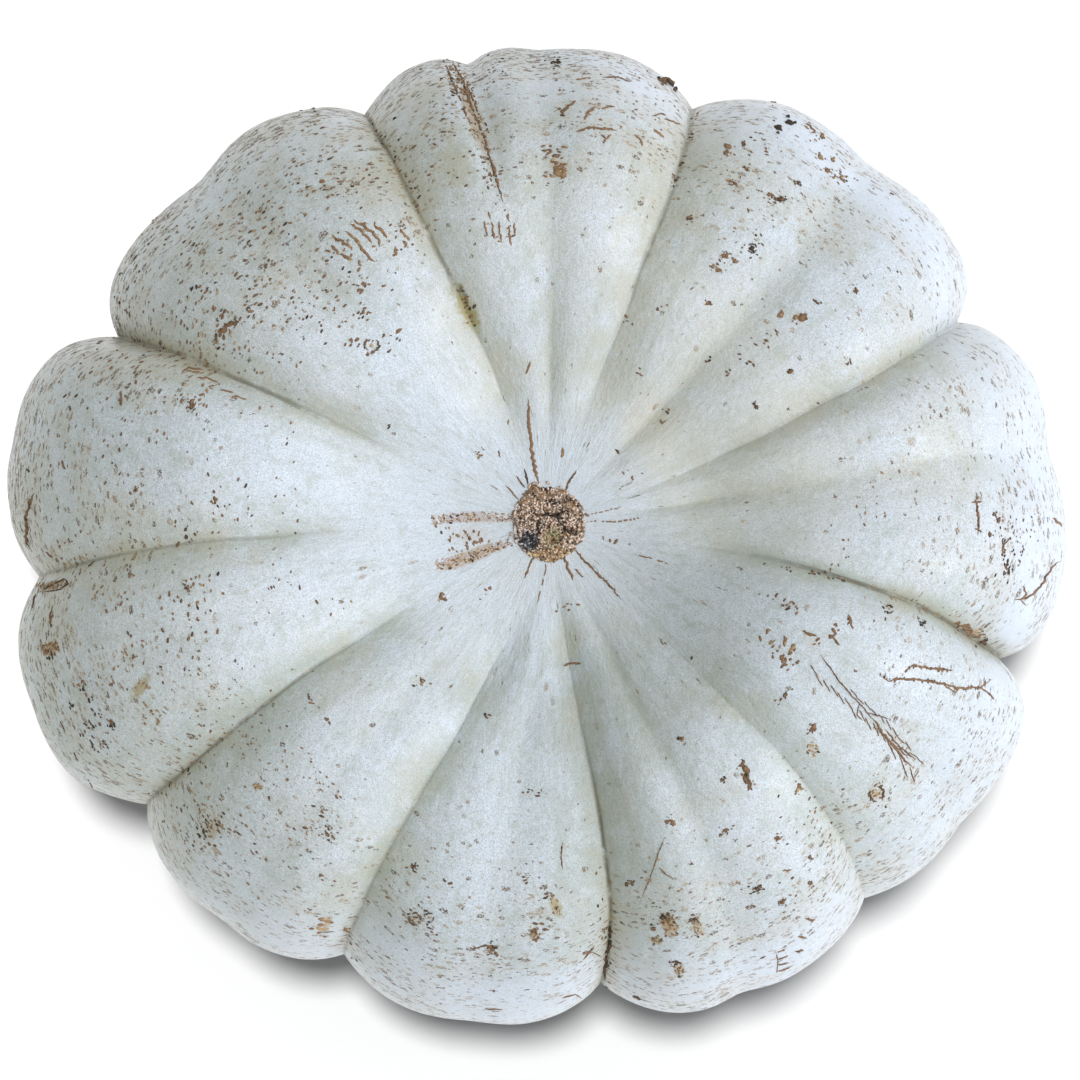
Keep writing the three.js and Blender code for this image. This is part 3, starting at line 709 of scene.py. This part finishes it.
    for width, tone, *stops in (
        (0.5, 0.5, (290.3, 102), (286.8, 110), (284.1, 117.5)),
        (0.7, 0.45, (287.8, 110), (288.4, 112), (289.4, 115)), (1, 0.42, (303, 143.5), (303.8, 145.3)),
        (0.9, 0.42, (301.1, 147), (302, 148.6)), (0.9, 0.35, (300, 150.4), (300.8, 151.6)),
        (0.8, 0.42, (304, 127.6), (305, 129)), (0.6, 0.35, (272.5, 97), (272.2, 101), (272.3, 105.5)),
        (0.5, 0.5, (298, 148), (297.7, 150.5), (296.9, 153.5)), (0.6, 0.5, (298.1, 148), (299, 148.5)),
        (0.6, 0.5, (297.8, 150), (299, 150.5)), (0.6, 0.5, (297.4, 151.5), (298.7, 152.5)),
        (0.6, 0.5, (297.1, 153), (298.2, 153.5)), (1, 0.3, (280.1, 146), (281, 147.5)),
        (1, 0.55, (276, 43.5), (279, 43.2), (283, 43.8)),
    ):
        stroke(width, 0.3, tone, *stops, ragged=0.6)
    each(crumbs, (12, 0.42, 0.45, 300, 132, 16, 14), (12, 0.4, 0.45, 287, 122, 9, 14),
         (14, 0.4, 0.42, 314, 118, 14, 12), (3, 0.4, 0.3, 323, 89, 1.2, 0.6),
         (2, 0.6, 0.05, 316.8, 59.5, 0.8, 0.4))

    # A branching scratch with beaded lines beside it, and forked squiggles beyond.
    stroke(1, 0.45, 0.42, (326.2, 134), (326.8, 128), (327.8, 121), (329, 115), ragged=0.5)
    each(stroke, (0.8, 0.4, 0.4, (327.4, 133), (327.6, 127), (328.6, 120)),
         (0.7, 0.4, 0.45, (326.9, 131), (327.4, 124), (328, 117.5)),
         (0.6, 0.4, 0.4, (328.6, 117), (330.4, 107), (331.6, 100.5), (334.5, 91.5)),
         (0.5, 0.35, 0.42, (329.4, 113), (330.2, 119.5)),
         (0.5, 0.35, 0.42, (329.9, 109.5), (328.2, 110.5), (327.9, 113)))
    for part in range(16):
        turn, distance = 325.9 + part * 0.33, 134 - part * 2.8
        swing = RNG.normal(0, 0.25)
        stroke(0.55, 0.35, 0.42, (turn - 0.9 + swing, distance + 2.4), (turn + 0.3 + swing, distance - 1.4))
        if part < 11:
            stroke(0.5, 0.35, 0.42, (turn + 1.4, distance + 1.9), (turn + 1.9 + swing, distance - 1.2))
    crumbs(18, 0.55, 0.45, 331, 82, 3, 6.5)
    for stops in (
        ((335.5, 110.5), (335.3, 114), (336.3, 117.5), (337.4, 124.5), (337.9, 129.5), (337.9, 134),
         (338.8, 138), (339.2, 140.5), (340.7, 143)),
        ((337.7, 117.5), (338.8, 119.5), (339.1, 124), (339.7, 127.5), (340, 131)),
        ((3.6, 130.5), (2, 130.5), (0.1, 131), (358.4, 131)),
    ):
        stroke(0.95, 0.4, 0.42, *stops, ragged=0.6)
        for start, end in zip(stops, stops[1:]):
            for share in (0.1, 0.5, 0.85):
                turn, distance = (first + (last - first) * share for first, last in zip(start, end))
                crumbs(1, 0.5, 0.4, turn, distance, 0.3, 0.3)
    for stops in (
        ((339.2, 141), (338.8, 144), (338.5, 146)), ((337.9, 129.5), (337.5, 134.5)),
        ((2.9, 129), (2.9, 132.2)), ((359.3, 129.8), (358.9, 132)),
        ((350.9, 145.5), (351.6, 147), (352.6, 146)), ((350.9, 145.6), (350.3, 147.4)),
    ):
        stroke(0.7, 0.35, 0.42, *stops, ragged=0.5)
    stroke(1.9, 0.45, 0.42, (337.7, 92.5), (338.6, 93), (339.9, 92.4), ragged=0.6)
    stroke(1, 0.35, 0.42, (338.3, 93), (337.3, 96), ragged=0.5)
    stroke(1.5, 0.4, 0.42, (341.3, 96), (342.2, 96.5), (343, 95.2), ragged=0.6)
    stroke(0.8, 0.35, 0.42, (341.8, 96.4), (341, 98.2))
    stroke(1.2, 0.35, 0.45, (337, 84), (337.1, 86.5), (337.3, 88.5), ragged=0.5)
    for turn, distance, size in (
        (332.1, 77, 0.9), (333.5, 80, 0.9), (333.2, 83.5, 0.9), (329.9, 82, 1), (328.7, 84, 0.7),
        (333.8, 74, 0.7), (336, 89.5, 0.8), (340.6, 93.5, 0.6), (346, 128.5, 0.8), (345.9, 131, 0.9),
    ):
        crumbs(3, size * 0.8, 0.5, turn, distance, 1, 1)
    crumbs(16, 0.5, 0.42, 341.4, 77, 2, 6)
    grit(34, 0.62, 0.62, 345.7, 132.5, 2.6, 7)
    crumbs(9, 0.6, 0.4, 345.8, 131, 2, 6, 130)
    patch(344.9, 137.3, 2.2, 1.1, 0.5, lean=115)
    crumbs(6, 0.75, 0.1, 344.9, 137.4, 1.4, 1.8)
    patch(345.2, 118, 1.2, 0.8, 0.12)
    wart(345.9, 107, 1.4, 0.35)
    stroke(1, 0.35, 0.42, (350.7, 143.5), (351.1, 147), (352, 149.5), (353.2, 151.4), (354.4, 153),
           (355.1, 154.3), (355.7, 156.4))
    stroke(1.2, 0.3, 0.5, (0.7, 153.8), (359.7, 156.3), ragged=0.5)
    stroke(0.8, 0.35, 0.3, (358.1, 138.2), (357.5, 138.6), (356.6, 138.7), (355.9, 138.4), ragged=0.6)
    stroke(0.6, 0.3, 0.34, (357.3, 138.8), (358.4, 140.8))
    each(crumbs, (16, 0.55, 0.16, 354.4, 140, 3.4, 2.6), (30, 0.34, 0.28, 356.4, 141, 5.6, 6),
         (24, 0.3, 0.34, 359.4, 143, 6, 8))
    for turn, distance in ((1.2, 135.7), (0.5, 137.2), (358.6, 134.5)):
        knob(turn, distance, 0.7, 0.35)
    crumbs(16, 0.5, 0.3, 349.4, 82, 0.8, 14, 80)
    return cork.finish("cork_marks")


# How far the scar's bed, its edge and its grains reach, and how many grains it has.
SCAR_BED, SCAR_EDGE, SCAR_GRAINS, SCAR_COUNT = 10.9, 10.6, 11.0, 1150
# The direction and half angle of a tongue that the scar has, and the middle of its blackened pit.
TONGUE, TONGUE_SPREAD = 114, 9
PIT = Vector((-5.8, -5.3))


def tongue(turn):
    return math.exp(-(((turn - TONGUE) / TONGUE_SPREAD) ** 2))


def make_blossom_scar():
    """A round scab of grains, with a dark bed between them, a blackened pit and a yellow lower edge."""
    scab = Crust()
    rings, columns = 34, 108
    points, tones = [land(Vector((0, 0)), 0.9)], [0.3]
    for ring in range(1, rings + 1):
        out = ring / rings
        for column in range(columns):
            turn = 2 * math.pi * column / columns
            corner = 0.35 * math.cos(5 * turn + 0.6) + 0.3 * math.cos(3 * turn - 1.1)
            corner += 2.3 * tongue(math.degrees(turn))
            spot = Vector((math.cos(turn) * 0.95, math.sin(turn) * 1.04)) * (SCAR_BED + corner) * out
            rough = noise.noise(Vector((spot.x, spot.y, 3.0)) / 0.75)
            lift = 0.75 + 0.45 * rough + 0.35 * math.exp(-(((out - 0.88) / 0.1) ** 2))
            points.append(land(spot, -0.15 if ring == rings else lift * (1 - out ** 9)))
            tones.append(0.4 + 0.8 * rough)
    scab.points, scab.tones = points, tones
    scab.faces = fan_faces(columns) + grid_faces(rings, columns, 1)

    for _ in range(SCAR_COUNT):
        turn, out = RNG.uniform(0, 360), math.sqrt(RNG.random()) * SCAR_GRAINS
        spot = from_axis(turn, out)
        tone = RNG.choice([1.05, 0.9, 0.7, 0.42, 0.15], p=[0.36, 0.2, 0.14, 0.15, 0.15]) + RNG.normal(0, 0.06)
        tone -= 0.25 * max(0.0, math.cos(math.radians(turn - 50))) * (out > 4) * RNG.random()
        pit = (spot - PIT).length
        smudge = (spot - Vector((7.2, -2.4))).length
        ring = abs((spot - Vector((0.8, -1.2))).length - 4.2)
        if smudge < 1.5 or (ring < 0.5 and spot.y > -3.5) or (pit < 3.0 and RNG.random() < 0.72):
            tone = 0.04 + RNG.uniform(0, 0.14)
        bulk = RNG.uniform(0.24, 0.5)
        facing = turn + RNG.choice([0, 90]) + RNG.normal(0, 30) if out > 5 else RNG.uniform(0, 180)
        lift = 1.0 + RNG.uniform(0, 0.7) - 0.7 * (out / SCAR_GRAINS) ** 3
        scab.lump(spot, bulk * RNG.uniform(1.0, 2.1), bulk, facing, lift, tone, 0.35, 2, 0.2)
    for turn in np.arange(0, 360, 6.5):
        reach = SCAR_EDGE + RNG.normal(0, 0.35) + 0.5 * abs(math.sin(math.radians(turn))) + 2.2 * tongue(turn)
        scab.lump(from_axis(turn, reach), RNG.uniform(0.6, 1.3), 0.42, turn + 90 + RNG.normal(0, 20), 0.8,
                  RNG.uniform(0.35, 0.85), 0.3)
    for stops in (
        ((156, 3.7), (107, 3.1), (58, 2.8), (0, 3.7), (344, 5.4), (333, 8.2)),
        ((135, 1.3), (215, 2.6), (225, 4.4)), ((52, 3.6), (35, 6), (24, 7.6)), ((80, 6), (62, 7.4)),
        ((318, 6.2), (300, 6.6)),
    ):
        scab.stroke(0.95, 2.0, 0.02, *stops, ragged=0.5)
    return scab.finish("blossom_scar")


def make_stem():
    """A cut stub with seven ridges and a flared foot, in the hollow under the fruit."""
    low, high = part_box("stem")
    middle, length = (low + high) / 2 / MM, (high.z - low.z) / MM
    radius = min(high.x - low.x, high.y - low.y) / 2 / MM
    columns = 112
    profile = [(0.3, 0.0), (0.66, 0.0)]
    for way in np.linspace(0.03, 0.95, 36):
        profile.append((0.7 + 0.24 * way ** 3 + 0.03 * math.sin(way * 9), way))
    profile += [(0.93, 0.985), (0.86, 1.0)]
    points = [Vector((middle.x, middle.y, low.z / MM + 0.9))]
    for reach, way in profile:
        for column in range(columns):
            turn = 2 * math.pi * column / columns
            ridge = 1 - 0.07 * (1 - math.cos(7 * turn + way)) * min(1.0, reach * 1.4)
            bark = 0.02 * noise.noise(Vector((math.cos(turn) * 5, math.sin(turn) * 5, way * 1.6)))
            spot = radius * reach * (ridge + bark)
            rough = 0.35 * noise.noise(Vector((math.cos(turn) * reach * 9, math.sin(turn) * reach * 9, 1.0)))
            height = low.z / MM + way * length + (0.3 + rough if way == 0 else 0)
            x, y = middle.x + spot * math.cos(turn), middle.y + spot * math.sin(turn)
            points.append(Vector((x, y, height)))
    points.append(Vector((middle.x, middle.y, high.z / MM)))
    faces = []
    last = 1 + (len(profile) - 1) * columns
    for column in range(columns):
        after = (column + 1) % columns
        faces.append((0, 1 + after, 1 + column))
        faces.append((len(points) - 1, last + column, last + after))
        for ring in range(len(profile) - 1):
            inner = 1 + ring * columns
            faces.append((inner + column, inner + after, inner + columns + after, inner + columns + column))
    stem = add_object("stem_stub", points, faces)
    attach(stem, "root")
    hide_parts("stem")
    return stem


cork_marks = make_cork_marks()
blossom_scar = make_blossom_scar()
stem = make_stem()


# ---------------------------------------------------------------------------------- finishes
class Link:
    """A node's output, for sums and for the nodes that take it as their input."""

    def __init__(self, finish, socket):
        self.finish, self.socket = finish, socket

    def __add__(self, other):
        return self.finish.maths("ADD", self, other)

    def __sub__(self, other):
        return self.finish.maths("SUBTRACT", self, other)

    def __rsub__(self, other):
        return self.finish.maths("SUBTRACT", other, self)

    def __mul__(self, other):
        return self.finish.maths("MULTIPLY", self, other)

    def __rtruediv__(self, other):
        return self.finish.maths("DIVIDE", other, self)

    def __pow__(self, other):
        return self.finish.maths("POWER", self, other)

    __radd__, __rmul__ = __add__, __mul__

    def least(self, other):
        return self.finish.maths("MINIMUM", self, other)

    def most(self, other):
        return self.finish.maths("MAXIMUM", self, other)

    def rise(self, low, high):
        """0 below low, 1 above high, smooth between them."""
        inputs = {"Value": self, "From Min": low, "From Max": high}
        return self.finish.node("ShaderNodeMapRange", {"interpolation_type": "SMOOTHSTEP"}, inputs)

    def parts(self):
        return [self.finish.node("ShaderNodeSeparateXYZ", {}, {0: self}, axis) for axis in "XYZ"]

    def vector_maths(self, operation, others):
        return self.finish.node("ShaderNodeVectorMath", {"operation": operation}, {0: self, **others})

    def cloud(self, scale, detail=2.0, roughness=0.5, distortion=0.0, output=0):
        """Soft noise at the place that this vector gives."""
        inputs = {"Scale": scale, "Detail": detail, "Roughness": roughness, "Distortion": distortion}
        return self.finish.node("ShaderNodeTexNoise", {}, {"Vector": self, **inputs}, output)

    def cells(self, output):
        """Cells in a plane: the distance to the nearest one's heart, or random numbers for each."""
        return self.finish.node("ShaderNodeTexVoronoi", {"voronoi_dimensions": "2D"},
                                {"Vector": self, "Scale": 1.0}, output)


class Finish:
    """The nodes of a material or of the world, and the colour that has been laid on so far."""

    def __init__(self, name, colour=None, kind=bpy.data.materials):
        self.owner, self.colour = kind.new(name), colour
        self.owner.use_nodes = True
        self.tree = self.owner.node_tree
        self.tree.nodes.clear()

    def node(self, kind, settings=None, inputs=None, output=0):
        """A node with its settings and the values or links of its sockets. Colours have no alpha."""
        made = self.tree.nodes.new(kind)
        for key, value in (settings or {}).items():
            setattr(made, key, value)
        for key, value in (inputs or {}).items():
            socket = made.inputs[key]
            if isinstance(value, Link):
                self.tree.links.new(value.socket, socket)
            else:
                socket.default_value = (*value, 1) if socket.type == "RGBA" else value
        return None if output is None else Link(self, made.outputs[output])

    def maths(self, operation, first, second):
        return self.node("ShaderNodeMath", {"operation": operation}, {0: first, 1: second})

    def place(self):
        """Object coordinates in millimetres, from the scar's axis."""
        spot = self.node("ShaderNodeTexCoord", output="Object")
        return spot.vector_maths("SUBTRACT", {1: AXIS}).vector_maths("SCALE", {"Scale": 1 / MM})

    def value_of(self, name):
        return self.node("ShaderNodeAttribute", {"attribute_name": name}, output="Fac")

    def vector(self, x, y, z=0.0):
        return self.node("ShaderNodeCombineXYZ", {}, {0: x, 1: y, 2: z})

    def mix(self, share, first, second):
        return self.node("ShaderNodeMix", {"data_type": "RGBA"}, {0: share, 6: first, 7: second}, 2)

    def lay(self, share, colour):
        self.colour = self.mix(share, self.colour, colour)

    def bump(self, height, strength, distance, under=None):
        inputs = {"Height": height, "Strength": strength, "Distance": distance * MM}
        if under is not None:
            inputs["Normal"] = under
        return self.node("ShaderNodeBump", {}, inputs)

    def surface(self, inputs):
        shader = self.node("ShaderNodeBsdfPrincipled", {}, {"Base Color": self.colour, **inputs})
        self.node("ShaderNodeOutputMaterial", {}, {"Surface": shader}, output=None)
        return self.owner


# The unrolled skin: its length from the scar to the stem, its width per radian, and the azimuth of its cut.
SKIN_LENGTH, SKIN_WIDTH, CUT_AZIMUTH = 370.0, 105.0, 70.6
# Layers of specks: their spacing, stretch, how many show, and their radii as shares of the spacing.
SPECKS = ((1.9, 0.85, 1.6, 0.12, 0.36), (3.1, 0.72, 1.6, 0.09, 0.33), (6.4, 0.8, 0.7, 0.05, 0.23))


def rind_finish():
    finish = Finish("rind")
    place = finish.place()
    x, y, z = place.parts()
    spread = (x * x + y * y) ** 0.5
    turn = math.radians(180 - CUT_AZIMUTH)
    turned_x, turned_y = x * math.cos(turn) - y * math.sin(turn), x * math.sin(turn) + y * math.cos(turn)
    unrolled = finish.maths("ARCTAN2", turned_y, turned_x) * SKIN_WIDTH
    names = ("along", "valley", "furrow_gap", "furrow_stain_and_shade")
    along, valley, gap, stain_and_shade_share = (finish.value_of(name) for name in names)

    # The grain of the skin is drawn out along the rays from the scar near it, and across them at the rim.
    around = finish.vector(spread, z, unrolled)
    ray_x, ray_y = x * (1.0 / spread.most(1.0)), y * (1.0 / spread.most(1.0))
    rays = finish.vector(ray_x * 26.0, ray_y * 26.0, spread * 0.045 + z * 0.02)

    # Ground colour: cool white crests and marbling. The beige and grey-green valleys, and the layers that
    # grow with valley, are partly the skin's own tint and partly painted shade in the creases.
    middle = place.cloud(0.075, 3.0, 0.6)
    broad = place.cloud(0.018).rise(0.38, 0.64)
    finish.colour = finish.mix(broad, (0.66, 0.745, 0.835), (0.675, 0.745, 0.81))
    # Painted shade, partly the skin's own tint: a darker beige-green laid into the valleys.
    valley_tint_and_shade = finish.mix(ray_y.rise(-0.3, 0.3), (0.45, 0.505, 0.44), (0.50, 0.505, 0.41))
    finish.lay(valley * 0.85 * middle.rise(0.2, 0.6), valley_tint_and_shade)
    # Painted shade: the outer skin on the -X side, away from the light, turns a darker grey-green.
    painted_shade_far_side = (ray_x * -1.0 - ray_y * 0.1).rise(-0.2, 0.9) * along.rise(0.14, 0.42)
    finish.lay(painted_shade_far_side * (place.cloud(0.065, 5.0, 0.65).rise(0.42, 0.6) * 0.55 + 0.3), (0.53, 0.59, 0.545))
    finish.lay(around.cloud(0.16, 5.0, 0.68, 0.6).rise(0.46, 0.72) * 0.62, (0.43, 0.485, 0.425))
    fibres = finish.vector(spread * 0.2, z * 0.2, unrolled).cloud(0.14, 4.0, 0.68, 0.4)
    finish.lay(fibres.rise(0.48, 0.68) * (valley * 0.35 + 0.18), (0.40, 0.45, 0.37))
    finish.lay(place.cloud(0.05, 4.0, 0.62).rise(0.5, 0.68) * (valley * 0.35 + 0.1), (0.55, 0.51, 0.39))
    finish.lay(around.cloud(0.3, 4.0, 0.7).rise(0.5, 0.68) * (valley * 0.3 + 0.09), (0.56, 0.54, 0.40))
    finish.lay(around.cloud(0.21, 4.0, 0.65).rise(0.5, 0.7) * 0.4, (0.72, 0.785, 0.835))
    streaks = rays.cloud(1.0, 4.0, 0.62).rise(0.46, 0.72)
    near_scar = 1.0 - spread.rise(25.0, 95.0)
    finish.lay(streaks * (near_scar * 0.24 + 0.08) * (valley * 1.1 + 0.35), (0.41, 0.45, 0.36))
    finish.lay(around.cloud(1.5, 4.0, 0.8).rise(0.44, 0.66) * 0.5, (0.35, 0.38, 0.31))
    finish.lay(around.cloud(3.0, 1.0).rise(0.42, 0.66) * 0.5, (0.32, 0.37, 0.36))

    # Warmer half way out towards +X. Painted light: the rim is colder and brighter there, on the side the
    # light comes from,
    # and at the lower edge. Painted shade: the rim is darker grey at the upper left.
    warmer = (ray_x * 0.8 + ray_y * 0.5).rise(0.55, 0.95) * (1.0 - spread.rise(76.0, 96.0))
    finish.lay(warmer * spread.rise(28.0, 40.0) * 0.2, (0.82, 0.80, 0.70))
    upper_left = (ray_y * 0.8 - ray_x * 0.6).rise(0.45, 0.95)
    painted_light_side = (ray_x * 0.8 + ray_y * 0.6).rise(-0.1, 0.8) * 0.58
    painted_light_side = painted_light_side.most((ray_y * -1.0).rise(0.45, 0.95) * 0.48).most(upper_left * 0.3)
    above_belly = 1.0 - along.rise(0.43, 0.52) * 0.85
    # Painted light: a brighter, bluer band round the rim on the lit side and at the lower edge.
    finish.lay(along.rise(0.24, 0.37) * painted_light_side * above_belly, (0.71, 0.80, 0.92))
    # Painted shade: a darker grey band round the rim at the upper left.
    finish.lay(along.rise(0.37, 0.45) * upper_left * above_belly * 0.7, (0.34, 0.38, 0.40))

    # Olive stain along each furrow, with a thin dark line in its bottom: partly the skin's own stain and
    # partly painted shade in the crease.
    worn = place.cloud(0.12, 4.0, 0.65)
    stain = (1.0 - (gap + worn * 4.0).rise(1.5, 7.5)) * along.rise(0.1, 0.3)
    finish.lay(stain * stain_and_shade_share * 0.65, (0.38, 0.37, 0.24))
    line = (1.0 - (gap + worn * 1.6).rise(0.9, 1.9)) * along.rise(0.05, 0.16) * stain_and_shade_share
    finish.lay(line * worn.rise(0.3, 0.5) * 0.85, (0.12, 0.11, 0.065))

    # Stains, frayed at their edges.
    frayed = (place.cloud(0.5, 4.0, 0.7) - 0.5) * 1.6
    shape = (finish.value_of("stain_depth") + frayed).rise(0.05, 0.6) * finish.value_of("stain_strength")
    finish.lay(shape, finish.vector(*(finish.value_of(name) for name in STAIN_TINT)))

    # Corky specks on the unrolled skin, thickest over the rim away from +X, and caught in the furrows.
    skin = finish.vector(unrolled, along * SKIN_LENGTH)
    clump = skin.cloud(0.05, 4.0, 0.65).rise(0.42, 0.62)
    thick = along.rise(0.12, 0.3) * (0.5 - ray_x * 0.12 - ray_x * ray_y * 0.22) * (clump * 1.3 + 0.1)
    exposed = (ray_y * 0.7 - ray_x * 0.7).rise(0.0, 0.9)
    weather_side = along.rise(0.32, 0.43) * exposed * above_belly
    thick = thick + along.rise(0.22, 0.36) * 0.12 + weather_side * 0.42
    finish.lay(clump * along.rise(0.12, 0.3) * (exposed * 0.2 + 0.2), (0.50, 0.47, 0.36))
    in_furrow = (1.0 - gap.rise(0.6, 4.0)) * along.rise(0.16, 0.34) * stain_and_shade_share
    thick = (thick + in_furrow * 0.5 + 0.03).least(1.0)
    shaken = skin.cloud(0.9, 3.0, output="Color").vector_maths("MULTIPLY_ADD", {1: (1.9, 1.9, 0.0), 2: skin})
    crumbled = skin.cloud(1.7, 3.0, 0.7).rise(0.42, 0.52)
    rough = None
    for size, stretch, share, small, large in SPECKS:
        spots = shaken.vector_maths("MULTIPLY", {1: (stretch / size, 1 / size, 0.0)})
        chance, bulk, tone = spots.cells("Color").parts()
        radius = bulk * bulk * (large - small) + small + weather_side * 0.06
        spot = (radius - spots.cells("Distance")).rise(-0.03, 0.05) * (thick * share - chance).rise(0.0, 0.03)
        spot = spot * crumbled
        brown = (tone + weather_side * 0.35).rise(0.1, 0.9)
        brown = finish.mix(brown, (0.34, 0.215, 0.09), (0.12, 0.076, 0.036))
        finish.lay(spot * (tone * 0.5 + 0.5 + weather_side * 0.3).least(1.0), brown)
        rough = spot if rough is None else rough.most(spot)

    normal = finish.bump(place.cloud(1.1), 0.12, 0.3)
    normal = finish.bump(around.cloud(0.35, 4.0, 0.6), 0.45, 0.9, normal)
    gloss = middle * 0.16 + 0.30 + rough * 0.35 + line * 0.3
    return finish.surface({"Roughness": gloss, "Normal": normal, "IOR": 1.45, "Specular IOR Level": 0.35,
                           "Coat Weight": 0.42 - rough * 0.42, "Coat Roughness": 0.28})


def cork_finish():
    """Dry cork, coloured by the tone of each point and a fine grain."""
    finish = Finish("cork_marks", (0.045, 0.035, 0.024))
    place = finish.place()
    tone = finish.value_of("tone") + (place.cloud(1.4) - 0.5) * 0.35
    finish.lay(tone.rise(0.0, 0.45), (0.24, 0.145, 0.08))
    finish.lay(tone.rise(0.45, 0.95), (0.47, 0.35, 0.19))
    finish.lay(tone.rise(0.95, 1.3), (0.50, 0.45, 0.43))
    normal = finish.bump(place.cloud(2.6, 3.0), 0.35, 0.3)
    return finish.surface({"Roughness": 0.8, "Normal": normal, "Specular IOR Level": 0.25})


def scar_finish():
    """Corky grains, yellow towards the lower edge and blue-black in the pit."""
    finish = Finish("blossom_scar", (0.035, 0.026, 0.022))
    place = finish.place()
    x, y, _ = place.parts()
    tone = finish.value_of("tone") + (place.cloud(1.7) - 0.5) * 0.4
    pit = 1.0 - (((x + 5.8) ** 2.0 + (y + 5.3) ** 2.0) ** 0.5).rise(1.6, 4.2)
    centre = 1.0 - (((x - 1.3) ** 2.0 + (y + 4.2) ** 2.0) ** 0.5).rise(1.5, 4.2)
    tan = finish.mix(centre, (0.82, 0.70, 0.60), (0.44, 0.42, 0.24))
    tan = finish.mix((y * -1.0).rise(5.5, 10.0) * (1.0 - pit) * 0.7, tan, (0.66, 0.50, 0.20))
    tan = finish.mix(pit * 0.8, tan, (0.42, 0.45, 0.48))
    tan = finish.mix((x * -1.0).rise(6.0, 10.0) * 0.6, tan, (0.72, 0.68, 0.68))
    rusty = place.cloud(0.5).rise(0.4, 0.65)
    brown = finish.mix(rusty, (0.24, 0.17, 0.11), (0.30, 0.17, 0.08))
    finish.lay(tone.rise(0.05, 0.4), finish.mix(pit, brown, (0.05, 0.06, 0.075)))
    finish.lay(tone.rise(0.45, 0.9), tan)
    normal = finish.bump(place.cloud(3.0, 3.0), 0.4, 0.3)
    return finish.surface({"Roughness": 0.75, "Normal": normal, "Specular IOR Level": 0.3})


def stem_finish():
    """Dry cork with long fibres."""
    finish = Finish("stem")
    x, y, z = finish.place().parts()
    fibres = finish.vector(x * 0.9, y * 0.9, z * 0.09).cloud(1.0, 4.0, 0.6)
    finish.colour = finish.mix(fibres.rise(0.3, 0.7), (0.17, 0.11, 0.06), (0.42, 0.32, 0.19))
    normal = finish.bump(fibres, 0.6, 0.8)
    return finish.surface({"Roughness": 0.85, "Normal": normal, "Specular IOR Level": 0.25})


rind.data.materials.append(rind_finish())
cork_marks.data.materials.append(cork_finish())
blossom_scar.data.materials.append(scar_finish())
stem.data.materials.append(stem_finish())


# ---------------------------------------------------------------------------------- studio
FLOOR_REACH = 12.0


def make_floor():
    corners = [(-1, -1), (1, -1), (1, 1), (-1, 1)]
    mesh = bpy.data.meshes.new("floor")
    mesh.from_pydata([(x * FLOOR_REACH, y * FLOOR_REACH, 0) for x, y in corners], [], [(0, 1, 2, 3)])
    floor = bpy.data.objects.new("floor", mesh)
    bpy.context.scene.collection.objects.link(floor)
    floor.data.materials.append(Finish("floor", (0.75, 0.75, 0.75)).surface({"Roughness": 0.9}))
    return floor


def make_world(fill_colour):
    """Even fill light and a white backdrop."""
    world = Finish("studio", kind=bpy.data.worlds)
    fill, backdrop = (world.node("ShaderNodeBackground", {}, {"Color": colour, "Strength": 1.0})
                      for colour in (fill_colour, (1, 1, 1)))
    seen = world.node("ShaderNodeLightPath", output="Is Camera Ray")
    chosen = world.node("ShaderNodeMixShader", {}, {0: seen, 1: fill, 2: backdrop})
    world.node("ShaderNodeOutputWorld", {}, {"Surface": chosen}, output=None)
    bpy.context.scene.world = world.owner


def make_lamp(name, azimuth, height, softness, strength, colour, lit):
    """A soft distant lamp in the given direction, in degrees, that lights only the things in lit."""
    data = bpy.data.lights.new(name, "SUN")
    data.angle = math.radians(softness)
    data.energy = strength
    data.color = colour
    lamp = bpy.data.objects.new(name, data)
    turn, lift = math.radians(azimuth), math.radians(height)
    toward = Vector((math.cos(turn) * math.cos(lift), math.sin(turn) * math.cos(lift), math.sin(lift)))
    lamp.rotation_euler = toward.to_track_quat("Z", "Y").to_euler()
    bpy.context.scene.collection.objects.link(lamp)
    group = bpy.data.collections.new(name + "_lights")
    for thing in lit:
        group.objects.link(thing)
    lamp.light_linking.receiver_collection = group


floor = make_floor()
make_world((0.168, 0.163, 0.11))
pumpkin = (rind, cork_marks, blossom_scar, stem)
make_lamp("broad", -12, 50, 120, 2.9, (1.0, 1.0, 1.12), pumpkin)
make_lamp("key", -8, 31, 28, 0.3, (1.0, 1.0, 1.06), pumpkin)
make_lamp("glint", -8, 42, 15, 0.45, (1, 1, 1), pumpkin)
make_lamp("back", 170, 38, 100, 0.26, (1.0, 1.03, 0.9), pumpkin)
make_lamp("floor_lamp", 93, 81, 7, 3.4, (1, 1, 1), (floor,))
make_lamp("floor_glow", 86, 54, 60, 0.66, (1, 1, 1), (floor,))
make_lamp("floor_sky", 90, 88, 120, 0.2, (0.0, 0.03, 1.0), (floor,))

# The share of the frame's width that the pumpkin fills.
FRAME_FILL = 0.975
low, high = CAD_BOX
view_distance = EYE_HEIGHT * MM
camera_data = bpy.data.cameras.new("camera")
camera = bpy.data.objects.new("camera", camera_data)
bpy.context.scene.collection.objects.link(camera)
bpy.context.scene.camera = camera
camera.location = (low + high) / 2 + Vector((EYE_SHIFT[0] * MM, EYE_SHIFT[1] * MM, view_distance))
camera_data.lens = camera_data.sensor_width * view_distance * FRAME_FILL / (high.x - low.x)
camera_data.clip_end = 60
bpy.context.scene.view_settings.view_transform = "Standard"
